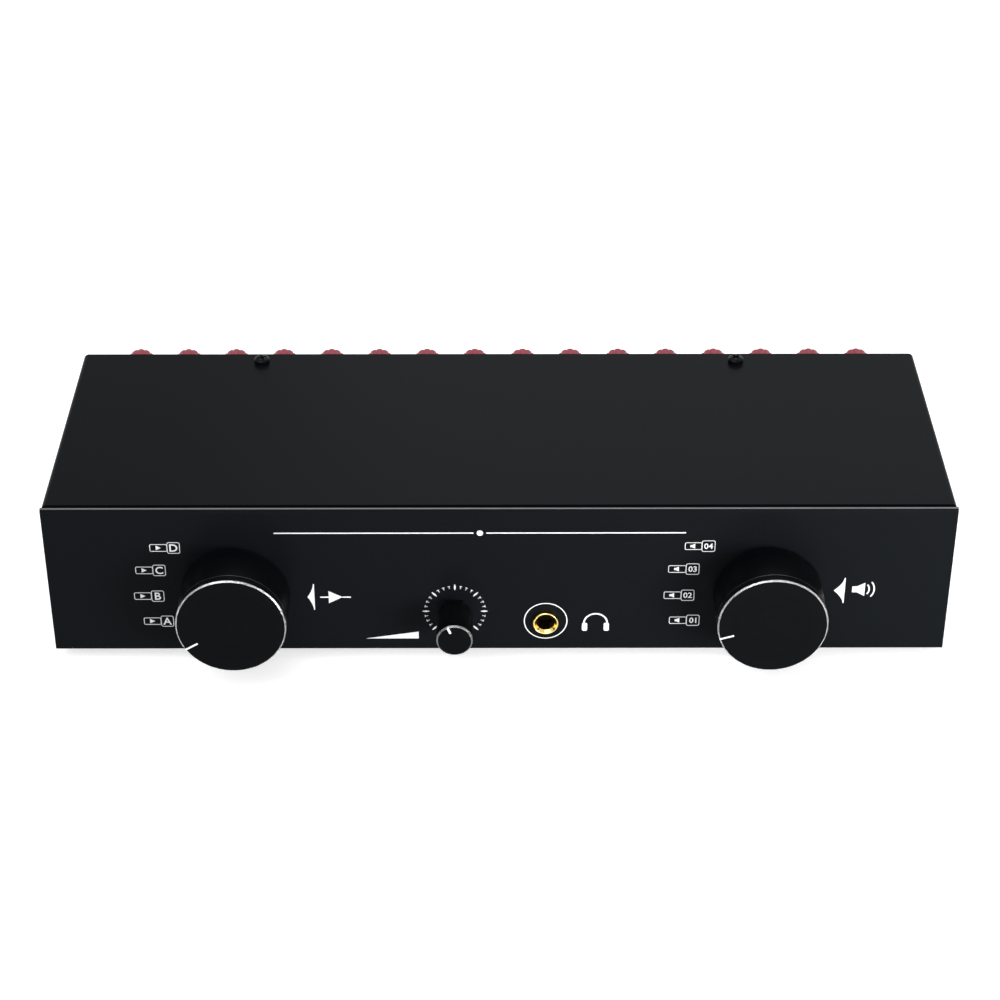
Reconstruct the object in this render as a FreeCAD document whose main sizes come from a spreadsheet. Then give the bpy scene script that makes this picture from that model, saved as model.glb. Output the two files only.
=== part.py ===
"""Speaker selector switch: a bent-steel box with two rotary selectors, a volume control, a headphone jack and 32 posts.

X runs to the right, Y to the back and Z up. The origin is the centre of the case on the surface it stands on.
"""

import FreeCAD
import Part
import Sketcher
import math
import os

SIZES = {
    # case
    "case_width": 320.0,
    "case_depth": 110.0,
    "case_height": 60.3,
    "sheet": 1.0,
    "bend_radius": 1.2,
    "cover_bend_radius": 2.0,
    "cover_setback": 3.2,
    "sheet_gap": 0.2,
    "flange_depth": 13.0,
    "side_flange_height": 12.0,
    "cover_screw_x": 90.8,
    "cover_screw_edge": 6.5,
    "side_screw_spread": 66.0,
    "side_screw_height": 7.5,
    "screw_radius": 1.45,
    "screw_hole_radius": 1.6,
    "screw_head_radius": 2.9,
    "screw_head_height": 2.4,
    "screw_length": 5.0,
    "foot_height": 5.0,
    "foot_radius": 7.0,
    "foot_inset_x": 22.0,
    "foot_inset_y": 18.0,
    # binding posts
    "post_pitch": 18.8,
    "post_row_gap": 19.0,
    "post_upper_height": 46.3,
    "stud_radius": 3.0,
    "socket_radius": 2.0,
    "socket_depth": 13.8,
    "stud_reach": 18.6,
    "stud_head_radius": 4.4,
    "stud_head_length": 3.0,
    "cap_radius": 5.7,
    "cap_flute_depth": 0.45,
    "cap_length": 15.1,
    "cap_seat_gap": 0.3,
    "cap_clearance": 0.1,
    "boss_radius": 5.6,
    "boss_height": 1.6,
    "board_thickness": 3.0,
    "board_gap": 0.8,
    "board_margin": 9.5,
    "board_hole_clearance": 0.05,
    "window_half_width": 6.4,
    "window_margin": 6.6,
    # rotary switches
    "amp_switch_x": -93.5,
    "speaker_switch_x": 95.2,
    "switch_height": 26.0,
    "bushing_radius": 4.75,
    "bushing_reach": 5.5,
    "bushing_hole_clearance": 0.15,
    "shaft_radius": 3.0,
    "shaft_clearance": 0.06,
    "shaft_end_reach": 17.0,
    "index_radius": 15.0,
    "index_depth": 9.0,
    "index_wall": 1.2,
    "detent_radius": 10.5,
    "detent_thickness": 2.4,
    "first_wafer_place": 18.5,
    "wafer_spacing": 14.0,
    "wafer_thickness": 1.6,
    "wafer_radius": 19.0,
    "rotor_radius": 8.5,
    "rotor_gap": 0.3,
    "tie_rod_radius": 1.25,
    "tie_rod_offset": 13.0,
    "lug_length": 5.0,
    "lug_width": 1.8,
    "lug_thickness": 0.5,
    "panel_nut_radius": 8.0,
    "panel_nut_thickness": 2.0,
    # knobs
    "knob_radius": 19.25,
    "knob_face_reach": 21.9,
    "knob_panel_gap": 1.9,
    "knob_edge_chamfer": 0.5,
    "knob_groove_place": 3.2,
    "knob_groove_depth": 0.4,
    "knob_recess_radius": 12.0,
    "knob_recess_depth": 4.5,
    "knob_bore_gap": 0.02,
    "shaft_tip_gap": 0.3,
    "pointer_length": 5.3,
    "pointer_width": 0.9,
    "pointer_depth": 0.25,
    "amp_pointer_angle": 211.0,
    "speaker_pointer_angle": 197.0,
    "grub_radius": 1.5,
    "grub_gap": 0.02,
    "grub_length": 6.0,
    "grub_place": 3.5,
    # volume control
    "volume_x": -15.8,
    "volume_height": 17.0,
    "volume_knob_radius": 6.35,
    "volume_face_reach": 18.1,
    "volume_panel_gap": 3.0,
    "volume_pointer_angle": 113.0,
    "volume_pointer_length": 2.9,
    "volume_shaft_reach": 14.0,
    "volume_bushing_radius": 3.5,
    "volume_bushing_reach": 2.7,
    "volume_nut_radius": 5.6,
    "volume_nut_thickness": 1.9,
    "pot_radius": 8.0,
    "pot_depth": 18.0,
    "pot_wall": 1.0,
    "wiper_radius": 6.2,
    "wiper_thickness": 2.0,
    # headphone jack
    "jack_x": 16.6,
    "jack_height": 12.7,
    "jack_bore_radius": 3.25,
    "jack_ferrule_radius": 4.6,
    "jack_ferrule_reach": 2.1,
    "jack_thread_radius": 4.2,
    "jack_body_width": 16.0,
    "jack_body_depth": 24.0,
    "jack_body_half_height": 8.0,
    "jack_bore_depth": 18.0,
    "jack_sleeve_length": 4.0,
    "jack_contact_width": 3.0,
    "jack_contact_thickness": 0.5,
    "jack_contact_height": 5.0,
    "jack_contact_spacing": 6.0,
    # headphone board and wiring
    "board_rest_height": 8.0,
    "headphone_board_width": 56.0,
    "headphone_board_depth": 24.0,
    "headphone_board_thickness": 1.6,
    "headphone_board_place": 32.0,
    "resistor_radius": 2.5,
    "resistor_length": 14.0,
    "resistor_spacing": 8.0,
    "resistor_inset": 7.0,
    "resistor_middle": 15.0,
    "pillar_radius": 3.0,
    "loom_width": 5.0,
    "loom_thickness": 2.4,
}

POST_COLUMNS = 16
COLUMNS_PER_BOARD = 2
CAP_FLUTES = 12
WAFERS_PER_SWITCH = 2
LUGS_PER_WAFER = 10

doc = FreeCAD.newDocument("SpeakerSelector")
sheet = doc.addObject("Spreadsheet::Sheet", "Sizes")
for row, (alias, value) in enumerate(SIZES.items(), start=1):
    sheet.set(f"A{row}", alias)
    sheet.set(f"B{row}", str(value))
    sheet.setAlias(f"B{row}", alias)
doc.recompute()

nodes = []


def full(expression):
    """Put the sheet's name before each alias, so that the words of SIZES can be used as they are."""
    words = []
    word = ""
    for letter in expression + " ":
        if letter.isalnum() or letter == "_":
            word += letter
            continue
        words.append(f"Sizes.{word}" if word in SIZES else word)
        words.append(letter)
        word = ""
    return "".join(words).strip()


def number(expression):
    """The present value of an expression of sizes."""
    return float(sheet.evalExpression(full(str(expression))))


def bind(item, **properties):
    """Tie properties to expressions of sizes; x, y and z stand for the placement's base."""
    for name, expression in properties.items():
        path = f"Placement.Base.{name}" if name in ("x", "y", "z") else name
        item.setExpression(path, full(str(expression)))
    return item


def box(name, x, y, z, length, width, height):
    """A box whose lowest corner is at x, y, z."""
    item = doc.addObject("Part::Box", name)
    return bind(item, x=x, y=y, z=z, Length=length, Width=width, Height=height)


def turned(item, kind):
    """Turn an upright primitive so that its axis runs along Y towards the back, or along X to the right."""
    turns = {
        "back": FreeCAD.Rotation(FreeCAD.Vector(1, 0, 0), -90),
        "right": FreeCAD.Rotation(FreeCAD.Vector(0, 1, 0), 90),
        "up": FreeCAD.Rotation(),
    }
    item.Placement.Rotation = turns[kind]
    return item


def rod(name, x, y, z, radius, length, kind="back"):
    """A cylinder that starts at x, y, z and runs back, right or up."""
    item = turned(doc.addObject("Part::Cylinder", name), kind)
    return bind(item, x=x, y=y, z=z, Radius=radius, Height=length)


def prism(name, x, y, z, sides, radius, length, kind="back"):
    """A regular prism that starts at x, y, z; radius is the one through its corners."""
    item = turned(doc.addObject("Part::Prism", name), kind)
    item.Polygon = sides
    return bind(item, x=x, y=y, z=z, Circumradius=radius, Height=length)


def screw_hole(name, x, y, z, radius, length, kind="back"):
    """A hole for a small screw: six-sided, its flats clear of the radius, because such holes repeat often."""
    return prism(name, x, y, z, 6, f"({radius}) / {math.cos(math.pi / 6):.9f}", length, kind)


def cut(name, base, *tools):
    """The base with every tool taken out of it, one after the other."""
    for order, tool in enumerate(tools):
        item = doc.addObject("Part::Cut", name if order == len(tools) - 1 else f"{name}_cut{order}")
        item.Base = base
        item.Tool = tool
        base = item
    return base


def fuse(name, *parts):
    """The parts joined into one solid."""
    item = doc.addObject("Part::MultiFuse", name)
    item.Shapes = list(parts)
    item.Refine = True
    return item


def copy_at(name, master, x, y, z):
    """A linked copy of a piece that was modelled at the origin."""
    item = doc.addObject("App::Link", name)
    item.LinkedObject = master
    item.LinkTransform = True
    return bind(item, x=x, y=y, z=z)


def group(name, parts):
    """Separate solids that share one node."""
    item = doc.addObject("Part::Compound", name)
    item.Links = list(parts)
    return item


def node(item, label):
    """Keep a finished piece as a node of its own."""
    item.Label = label
    assert item.Label == label, f"{label} is already the name of another object"
    nodes.append(item)
    return item


def body_plane(body, role):
    """One of a body's own origin planes."""
    return next(feature for feature in body.Origin.OriginFeatures if feature.Role == role)


def outline(body, name, role, points):
    """A sketch of one closed outline with its corners tied to expressions of sizes."""
    sketch = body.newObject("Sketcher::SketchObject", name)
    sketch.AttachmentSupport = [(body_plane(body, role), "")]
    sketch.MapMode = "FlatFace"
    corners = [FreeCAD.Vector(number(u), number(v), 0) for u, v in points]
    for order, corner in enumerate(corners):
        sketch.addGeometry(Part.LineSegment(corner, corners[(order + 1) % len(corners)]), False)
    for order in range(len(corners)):
        following = (order + 1) % len(corners)
        sketch.addConstraint(Sketcher.Constraint("Coincident", order, 2, following, 1))
    for order, (u, v) in enumerate(points):
        place(sketch, order, 1, u, v)
    return sketch


def place(sketch, curve, point, u, v):
    """Tie a sketch point to two expressions of sizes."""
    for kind, expression in (("DistanceX", u), ("DistanceY", v)):
        constraint = Sketcher.Constraint(kind, curve, point, number(expression))
        order = sketch.addConstraint(constraint)
        sketch.setExpression(f"Constraints[{order}]", full(str(expression)))


def fillet_along(body, name, direction, spots, radius):
    """Round the straight edges that run along an axis through the given spots."""
    doc.recompute()
    base = body.Tip
    axis = FreeCAD.Vector(*direction)
    names = []
    for order, edge in enumerate(base.Shape.Edges, start=1):
        start, end = edge.Vertexes[0].Point, edge.Vertexes[-1].Point
        run = end - start
        if run.Length < 1e-6 or abs(abs(run.normalize().dot(axis)) - 1) > 1e-6:
            continue
        for spot in spots:
            away = start - FreeCAD.Vector(*spot)
            if (away - axis * away.dot(axis)).Length < 1e-4:
                names.append(f"Edge{order}")
    feature = body.newObject("PartDesign::Fillet", name)
    feature.Base = (base, names)
    return bind(feature, Radius=radius)


FRONT = "(-case_depth / 2)"
REAR = "(case_depth / 2)"
FLOOR = "foot_height"
TOP = "(foot_height + case_height)"
FLANGE_TOP = "(foot_height + case_height - sheet)"
INNER_HALF = "(case_width / 2 - sheet - sheet_gap)"
SWITCH_Z = "(foot_height + switch_height)"
VOLUME_Z = "(foot_height + volume_height)"
JACK_Z = "(foot_height + jack_height)"
UPPER_Z = "(foot_height + post_upper_height)"
LOWER_Z = "(foot_height + post_upper_height - post_row_gap)"
ROW_HEIGHTS = {"red": UPPER_Z, "black": LOWER_Z}
SWITCH_X = {"amp": "amp_switch_x", "speaker": "speaker_switch_x"}


def column_x(column):
    """The place of a column of posts across the rear panel."""
    return f"(post_pitch * ({column} - {(POST_COLUMNS - 1) / 2}))"


def board_x(board):
    """The middle of a terminal board across the rear panel."""
    middle = board * COLUMNS_PER_BOARD + (COLUMNS_PER_BOARD - 1) / 2
    return column_x(middle)


def make_chassis():
    """Front panel, floor and rear panel: one bent sheet, with flanges under the cover and along its sides."""
    body = doc.addObject("PartDesign::Body", "bent_channel")
    profile = outline(body, "channel_outline", "YZ_Plane", [
        (FRONT, FLOOR),
        (REAR, FLOOR),
        (REAR, FLANGE_TOP),
        (f"{REAR} - flange_depth", FLANGE_TOP),
        (f"{REAR} - flange_depth", f"{FLANGE_TOP} - sheet"),
        (f"{REAR} - sheet", f"{FLANGE_TOP} - sheet"),
        (f"{REAR} - sheet", f"{FLOOR} + sheet"),
        (f"{FRONT} + sheet", f"{FLOOR} + sheet"),
        (f"{FRONT} + sheet", f"{FLANGE_TOP} - sheet"),
        (f"{FRONT} + flange_depth", f"{FLANGE_TOP} - sheet"),
        (f"{FRONT} + flange_depth", FLANGE_TOP),
        (FRONT, FLANGE_TOP),
    ])
    pad = body.newObject("PartDesign::Pad", "channel")
    pad.Profile = profile
    pad.Midplane = True
    bind(pad, Length="case_width")
    outer = [
        (0, number(FRONT), number(FLOOR)),
        (0, number(REAR), number(FLOOR)),
        (0, number(FRONT), number(FLANGE_TOP)),
        (0, number(REAR), number(FLANGE_TOP)),
    ]
    fillet_along(body, "outer_bends", (1, 0, 0), outer, "bend_radius")
    inset = number("sheet")
    inner = [
        (0, y + inset * (1 if y < 0 else -1), z + inset * (1 if z < number(TOP) / 2 else -1))
        for _, y, z in outer
    ]
    fillet_along(body, "inner_bends", (1, 0, 0), inner, "bend_radius - sheet")
    behind = f"({FRONT} + cover_setback - sheet_gap)"
    for side, sign in (("left", -1), ("right", 1)):
        edge = outline(body, f"{side}_side_relief_outline", "XY_Plane", [
            (f"{sign} * {INNER_HALF}", behind),
            (f"{sign} * case_width", behind),
            (f"{sign} * case_width", "case_depth"),
            (f"{sign} * {INNER_HALF}", "case_depth"),
        ])
        relief = body.newObject("PartDesign::Pocket", f"{side}_side_relief")
        relief.Profile = edge
        relief.Type = 1
        relief.Midplane = True
    flange_from = f"{FRONT} + flange_depth + sheet"
    flange_to = f"{REAR} - flange_depth - sheet"
    for side, sign in (("left", -1), ("right", 1)):
        flange = outline(body, f"{side}_flange_outline", "XY_Plane", [
            (f"{sign} * ({INNER_HALF} - sheet)", flange_from),
            (f"{sign} * {INNER_HALF}", flange_from),
            (f"{sign} * {INNER_HALF}", flange_to),
            (f"{sign} * ({INNER_HALF} - sheet)", flange_to),
        ])
        upright = body.newObject("PartDesign::Pad", f"{side}_flange")
        upright.Profile = flange
        bind(upright, Length=f"{FLOOR} + side_flange_height")
        below = body.newObject("PartDesign::Pocket", f"{side}_flange_foot")
        below.Profile = flange
        below.Reversed = True
        bind(below, Length=FLOOR)
    doc.recompute()
    tools = []
    for column in range(POST_COLUMNS):
        low = f"({LOWER_Z} - window_margin)"
        tools.append(box(
            f"post_window_{column}", f"{column_x(column)} - window_half_width", f"{REAR} - 2 * sheet", low,
            "2 * window_half_width", "4 * sheet", "post_row_gap + 2 * window_margin",
        ))
    for name, across in SWITCH_X.items():
        tools.append(rod(
            f"{name}_bushing_hole", across, f"{FRONT} - sheet", SWITCH_Z,
            "bushing_radius + bushing_hole_clearance", "3 * sheet",
        ))
    tools.append(rod(
        "volume_bushing_hole", "volume_x", f"{FRONT} - sheet", VOLUME_Z,
        "volume_bushing_radius + bushing_hole_clearance", "3 * sheet",
    ))
    tools.append(rod(
        "jack_hole", "jack_x", f"{FRONT} - sheet", JACK_Z,
        "jack_thread_radius + bushing_hole_clearance", "3 * sheet",
    ))
    for board in range(POST_COLUMNS // COLUMNS_PER_BOARD):
        tools.append(screw_hole(
            f"board_screw_hole_{board}", board_x(board), f"{REAR} - 2 * sheet",
            f"({UPPER_Z} + {LOWER_Z}) / 2", "screw_radius", "4 * sheet",
        ))
    for side in (-1, 1):
        tools.append(screw_hole(
            "cover_screw_thread", f"{side} * cover_screw_x", f"{REAR} - cover_screw_edge",
            f"{FLANGE_TOP} - 2 * sheet", "screw_radius", "4 * sheet", "up",
        ))
        for end in (-0.5, 0.5):
            tools.append(screw_hole(
                "side_screw_thread", f"{side} * case_width / 2 - 3 * sheet", f"{end} * side_screw_spread",
                f"{FLOOR} + side_screw_height", "screw_radius", "6 * sheet", "right",
            ))
    node(cut("drilled_chassis", body, group("chassis_holes", tools)), "chassis")


def make_cover():
    """Top and both sides: a second bent sheet that sits on the chassis flanges."""
    body = doc.addObject("PartDesign::Body", "cover")
    half = "(case_width / 2)"
    profile = outline(body, "cover_outline", "XZ_Plane", [
        (f"-{half}", FLOOR),
        (f"-{half} + sheet", FLOOR),
        (f"-{half} + sheet", f"{TOP} - sheet"),
        (f"{half} - sheet", f"{TOP} - sheet"),
        (f"{half} - sheet", FLOOR),
        (half, FLOOR),
        (half, TOP),
        (f"-{half}", TOP),
    ])
    pad = body.newObject("PartDesign::Pad", "cover_channel")
    pad.Profile = profile
    pad.Reversed = False
    bind(pad, Length="case_depth - cover_setback")
    edges = [(sign * number(half), 0, number(TOP)) for sign in (-1, 1)]
    fillet_along(body, "cover_outer_bends", (0, 1, 0), edges, "cover_bend_radius")
    inset = number("sheet")
    inner = [(x - inset * (1 if x > 0 else -1), 0, z - inset) for x, _, z in edges]
    fillet_along(body, "cover_inner_bends", (0, 1, 0), inner, "cover_bend_radius - sheet")
    bind(body, y=REAR)
    tools = []
    for side in (-1, 1):
        tools.append(screw_hole(
            "cover_screw_hole", f"{side} * cover_screw_x", f"{REAR} - cover_screw_edge",
            f"{TOP} - 2 * sheet", "screw_hole_radius", "4 * sheet", "up",
        ))
        for end in (-0.5, 0.5):
            tools.append(screw_hole(
                "side_screw_hole", f"{side} * case_width / 2 - 2 * sheet", f"{end} * side_screw_spread",
                f"{FLOOR} + side_screw_height", "screw_hole_radius", "4 * sheet", "right",
            ))
    node(cut("drilled_cover", body, group("cover_holes", tools)), "top_cover")


def screw(name, x, y, z, kind, forward=True):
    """A pan-head screw with the underside of its head at x, y, z; the head lies along the axis if forward."""
    along = {"back": "y", "right": "x", "up": "z"}[kind]
    parts = []
    for part, radius, length, ahead in (
        ("head", "screw_head_radius", "screw_head_height", forward),
        ("shank", "screw_radius", "screw_length", not forward),
    ):
        spot = {"x": x, "y": y, "z": z}
        if not ahead:
            spot[along] = f"{spot[along]} - {length}"
        sides = {"head": 16, "shank": 6}[part]
        parts.append(prism(f"{name}_{part}", spot["x"], spot["y"], spot["z"], sides, radius, length, kind))
    return fuse(name, *parts)


def make_case_screws():
    """Pan-head screws: two through the top, two through each side and one through each terminal board."""
    parts = []
    for side, forward in ((-1, False), (1, True)):
        parts.append(screw(
            "top_screw", f"{side} * cover_screw_x", f"{REAR} - cover_screw_edge", TOP, "up",
        ))
        for end in (-0.5, 0.5):
            parts.append(screw(
                "side_screw", f"{side} * case_width / 2", f"{end} * side_screw_spread",
                f"{FLOOR} + side_screw_height", "right", forward,
            ))
    for board in range(POST_COLUMNS // COLUMNS_PER_BOARD):
        parts.append(screw(
            "board_screw", board_x(board), f"{REAR} + board_thickness", f"({UPPER_Z} + {LOWER_Z}) / 2", "back",
        ))
    node(group("case_screw_set", parts), "case_screws")


def make_feet():
    """Four round rubber feet under the floor."""
    parts = []
    for side in (-1, 1):
        for end in (-1, 1):
            parts.append(rod(
                "foot", f"{side} * (case_width / 2 - foot_inset_x)", f"{end} * (case_depth / 2 - foot_inset_y)",
                "0", "foot_radius", "foot_height", "up",
            ))
    node(group("foot_set", parts), "rubber_feet")


def make_terminal_boards():
    """Moulded boards of two red-over-black pairs each, with a raised twelve-sided boss round every post."""
    width = f"({COLUMNS_PER_BOARD} * post_pitch - board_gap)"
    plate = box(
        "board_plate", f"-{width} / 2", "0", f"{LOWER_Z} - board_margin",
        width, "board_thickness", "post_row_gap + 2 * board_margin",
    )
    bosses = []
    holes = []
    for side in (-0.5, 0.5):
        for height in (UPPER_Z, LOWER_Z):
            across = f"{side} * post_pitch"
            bosses.append(prism(
                "board_boss", across, "board_thickness", height, CAP_FLUTES, "boss_radius", "boss_height",
            ))
            holes.append(prism(
                "board_post_hole", across, "-sheet", height, CAP_FLUTES, "stud_radius + board_hole_clearance",
                "board_thickness + boss_height + 2 * sheet",
            ))
    holes.append(screw_hole(
        "board_screw_hole", "0", "-sheet", f"({UPPER_Z} + {LOWER_Z}) / 2", "screw_hole_radius",
        "board_thickness + 2 * sheet",
    ))
    master = cut("board_master", fuse("board_blank", plate, *bosses), group("board_holes", holes))
    boards = POST_COLUMNS // COLUMNS_PER_BOARD
    parts = [copy_at(f"board_{board}", master, board_x(board), REAR, "0") for board in range(boards)]
    node(group("board_set", parts), "terminal_boards")


def make_post_studs():
    """Threaded metal studs with a banana socket at the tip, a cross hole for bare wire and a captive hex head."""
    barrel = prism("stud_barrel", "0", "0", "0", CAP_FLUTES, "stud_radius", "stud_reach")
    head = prism("stud_head", "0", "-stud_head_length", "0", 6, "stud_head_radius", "stud_head_length")
    socket = rod(
        "stud_socket", "0", "stud_reach - socket_depth", "0", "socket_radius", "socket_depth + sheet",
    )
    master = cut("stud_master", fuse("stud_blank", barrel, head), socket)
    parts = []
    for color, height in ROW_HEIGHTS.items():
        for column in range(POST_COLUMNS):
            parts.append(copy_at(f"{color}_stud_{column}", master, column_x(column), REAR, height))
    node(group("stud_set", parts), "post_studs")


def make_post_caps():
    """One fluted screw cap per post: a pad of a star-shaped outline with its bore cut through."""
    corners = []
    for corner in range(2 * CAP_FLUTES):
        radius = "cap_radius" if corner % 2 == 0 else "(cap_radius - cap_flute_depth)"
        angle = 2 * math.pi * corner / (2 * CAP_FLUTES)
        corners.append((f"{math.cos(angle):.9f} * {radius}", f"{math.sin(angle):.9f} * {radius}"))
    body = doc.addObject("PartDesign::Body", "cap_master")
    grip = body.newObject("PartDesign::Pad", "cap_grip")
    grip.Profile = outline(body, "cap_outline", "XZ_Plane", corners)
    grip.Reversed = True
    bind(grip, Length="cap_length")
    doc.recompute()
    bore = prism(
        "cap_bore", "0", "-sheet", "0", CAP_FLUTES, "stud_radius + cap_clearance", "cap_length + 2 * sheet",
    )
    master = cut("cap_bored", body, bore)
    for color, height in ROW_HEIGHTS.items():
        for column in range(POST_COLUMNS):
            label = f"wire_clamp_{color}_{column + 1:02d}"
            cap = copy_at(label, master, column_x(column), f"{REAR} + board_thickness + boss_height + cap_seat_gap", height)
            node(cap, label)


def make_index_housings():
    """The front end of each rotary switch: a round can for the detent and the threaded bushing before it."""
    parts = []
    inner = f"{FRONT} + sheet"
    for name, across in SWITCH_X.items():
        can = rod(f"{name}_index_can", across, inner, SWITCH_Z, "index_radius", "index_depth")
        bushing = rod(
            f"{name}_bushing", across, f"{FRONT} - bushing_reach", SWITCH_Z,
            "bushing_radius", "bushing_reach + 2 * sheet",
        )
        hollow = rod(
            f"{name}_index_hollow", across, f"{inner} + index_wall", SWITCH_Z,
            "index_radius - index_wall", "index_depth - 2 * index_wall",
        )
        bore = rod(
            f"{name}_bushing_bore", across, f"{FRONT} - case_depth / 2", SWITCH_Z,
            "shaft_radius + shaft_clearance", "case_depth",
        )
        parts.append(cut(f"{name}_index", fuse(f"{name}_index_blank", can, bushing), hollow, bore))
    node(group("index_set", parts), "index_housings")


def wafer_y(wafer):
    """The front face of a wafer behind the front panel."""
    return f"({FRONT} + sheet + first_wafer_place + {wafer} * wafer_spacing)"


def make_switch_decks():
    """Wafers, their contact lugs, and the tie rods that carry the wafers behind the index housing."""
    wafers = []
    lugs = []
    rods = []
    for name, across in SWITCH_X.items():
        for wafer in range(WAFERS_PER_SWITCH):
            plate = prism(
                f"{name}_wafer_plate", across, wafer_y(wafer), SWITCH_Z, 8, "wafer_radius", "wafer_thickness",
            )
            hole = rod(
                f"{name}_rotor_hole", across, f"{wafer_y(wafer)} - sheet", SWITCH_Z,
                "rotor_radius + rotor_gap", "wafer_thickness + 2 * sheet",
            )
            rod_holes = [
                rod(
                    f"{name}_tie_rod_hole", f"{across} + {side} * tie_rod_offset", f"{wafer_y(wafer)} - sheet",
                    SWITCH_Z, "tie_rod_radius", "wafer_thickness + 2 * sheet",
                )
                for side in (-1, 1)
            ]
            wafers.append(cut(f"{name}_wafer_{wafer}", plate, group("wafer_holes", [hole, *rod_holes])))
            for lug in range(LUGS_PER_WAFER):
                angle = math.radians(18 + 36 * lug)
                item = box(f"{name}_lug", "0", "0", "0", "lug_thickness", "lug_length", "lug_width")
                reach = "(wafer_radius - lug_length)"
                bind(
                    item,
                    x=f"{across} + {math.cos(angle):.9f} * {reach}",
                    y=f"{wafer_y(wafer)} + wafer_thickness",
                    z=f"{SWITCH_Z} + {math.sin(angle):.9f} * {reach}",
                )
                lugs.append(item)
        for side in (-1, 1):
            rods.append(rod(
                f"{name}_tie_rod", f"{across} + {side} * tie_rod_offset",
                f"{FRONT} + sheet + index_depth", SWITCH_Z, "tie_rod_radius",
                f"first_wafer_place - index_depth + {WAFERS_PER_SWITCH - 1} * wafer_spacing + 2 * wafer_thickness",
            ))
    node(group("wafer_set", wafers), "switch_wafers")
    node(group("lug_set", lugs), "wafer_lugs")
    node(group("tie_rod_set", rods), "switch_tie_rods")


def make_panel_nuts():
    """Hex nuts that hold the two switches and the volume control to the front panel."""
    parts = []
    for name, across in SWITCH_X.items():
        nut = prism(
            f"{name}_nut_blank", across, f"{FRONT} - panel_nut_thickness", SWITCH_Z, 6,
            "panel_nut_radius", "panel_nut_thickness",
        )
        hole = rod(
            f"{name}_nut_hole", across, f"{FRONT} - 2 * panel_nut_thickness", SWITCH_Z,
            "bushing_radius + knob_bore_gap", "3 * panel_nut_thickness",
        )
        parts.append(cut(f"{name}_nut", nut, hole))
    nut = prism(
        "volume_nut_blank", "volume_x", f"{FRONT} - volume_nut_thickness", VOLUME_Z, 6,
        "volume_nut_radius", "volume_nut_thickness",
    )
    hole = rod(
        "volume_nut_hole", "volume_x", f"{FRONT} - 2 * volume_nut_thickness", VOLUME_Z,
        "volume_bushing_radius + knob_bore_gap", "3 * volume_nut_thickness",
    )
    parts.append(cut("volume_nut", nut, hole))
    node(group("panel_nut_set", parts), "panel_nuts")


def turned_knob(name, radius, reach, gap, shaft_reach, grooved):
    """A turned knob round the Y axis, its face at -reach: bright edge, and for a large one a groove and a recess."""
    bore = "(shaft_radius + knob_bore_gap)"
    blind = f"-{shaft_reach} - shaft_tip_gap"
    points = [
        ("0", f"-{reach}"),
        (f"{radius} - knob_edge_chamfer", f"-{reach}"),
        (radius, f"-{reach} + knob_edge_chamfer"),
    ]
    if grooved:
        points += [
            (radius, f"-{reach} + knob_groove_place - knob_groove_depth"),
            (f"{radius} - knob_groove_depth", f"-{reach} + knob_groove_place"),
            (radius, f"-{reach} + knob_groove_place + knob_groove_depth"),
            (radius, f"-{gap}"),
            ("knob_recess_radius", f"-{gap}"),
            ("knob_recess_radius", f"-{gap} - knob_recess_depth"),
            (bore, f"-{gap} - knob_recess_depth"),
        ]
    else:
        points += [(radius, f"-{gap}"), (bore, f"-{gap}")]
    points += [(bore, blind), ("0", blind)]
    body = doc.addObject("PartDesign::Body", f"{name}_turned")
    profile = outline(body, f"{name}_profile", "XY_Plane", points)
    turning = body.newObject("PartDesign::Revolution", f"{name}_turning")
    turning.Profile = profile
    turning.ReferenceAxis = (profile, ["V_Axis"])
    turning.Angle = 360
    return body


def at_pointer(name, master, across, height, angle):
    """A copy of a knob or of its grub screw on its shaft, turned so that the pointer stands at the angle."""
    item = copy_at(name, master, across, FRONT, height)
    item.Placement.Rotation = FreeCAD.Rotation(FreeCAD.Vector(0, -1, 0), number(angle))
    return item


def make_large_knobs():
    """The two selector knobs with their pointer slots, and the grub screw that grips each shaft."""
    turning = turned_knob(
        "knob", "knob_radius", "knob_face_reach", "knob_panel_gap", "shaft_end_reach", True,
    )
    slot = box(
        "pointer_slot", "knob_radius - pointer_length", "-knob_face_reach - sheet", "-pointer_width / 2",
        "pointer_length + sheet", "sheet + pointer_depth", "pointer_width",
    )
    grub_y = "(-knob_panel_gap - knob_recess_depth - grub_place)"
    grub_hole = rod("grub_hole", "0", grub_y, "0", "grub_radius + grub_gap", "knob_radius + sheet", "up")
    knob = cut("knob_master", turning, group("knob_cuts", [slot, grub_hole]))
    grub = rod("grub_master", "0", grub_y, "shaft_radius + grub_gap", "grub_radius", "grub_length", "up")
    for name, across in SWITCH_X.items():
        angle = f"{name}_pointer_angle"
        label = f"{name}_knob"
        node(at_pointer(label, knob, across, SWITCH_Z, angle), label)
        label = f"{name}_knob_screw"
        node(at_pointer(label, grub, across, SWITCH_Z, angle), label)


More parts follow.
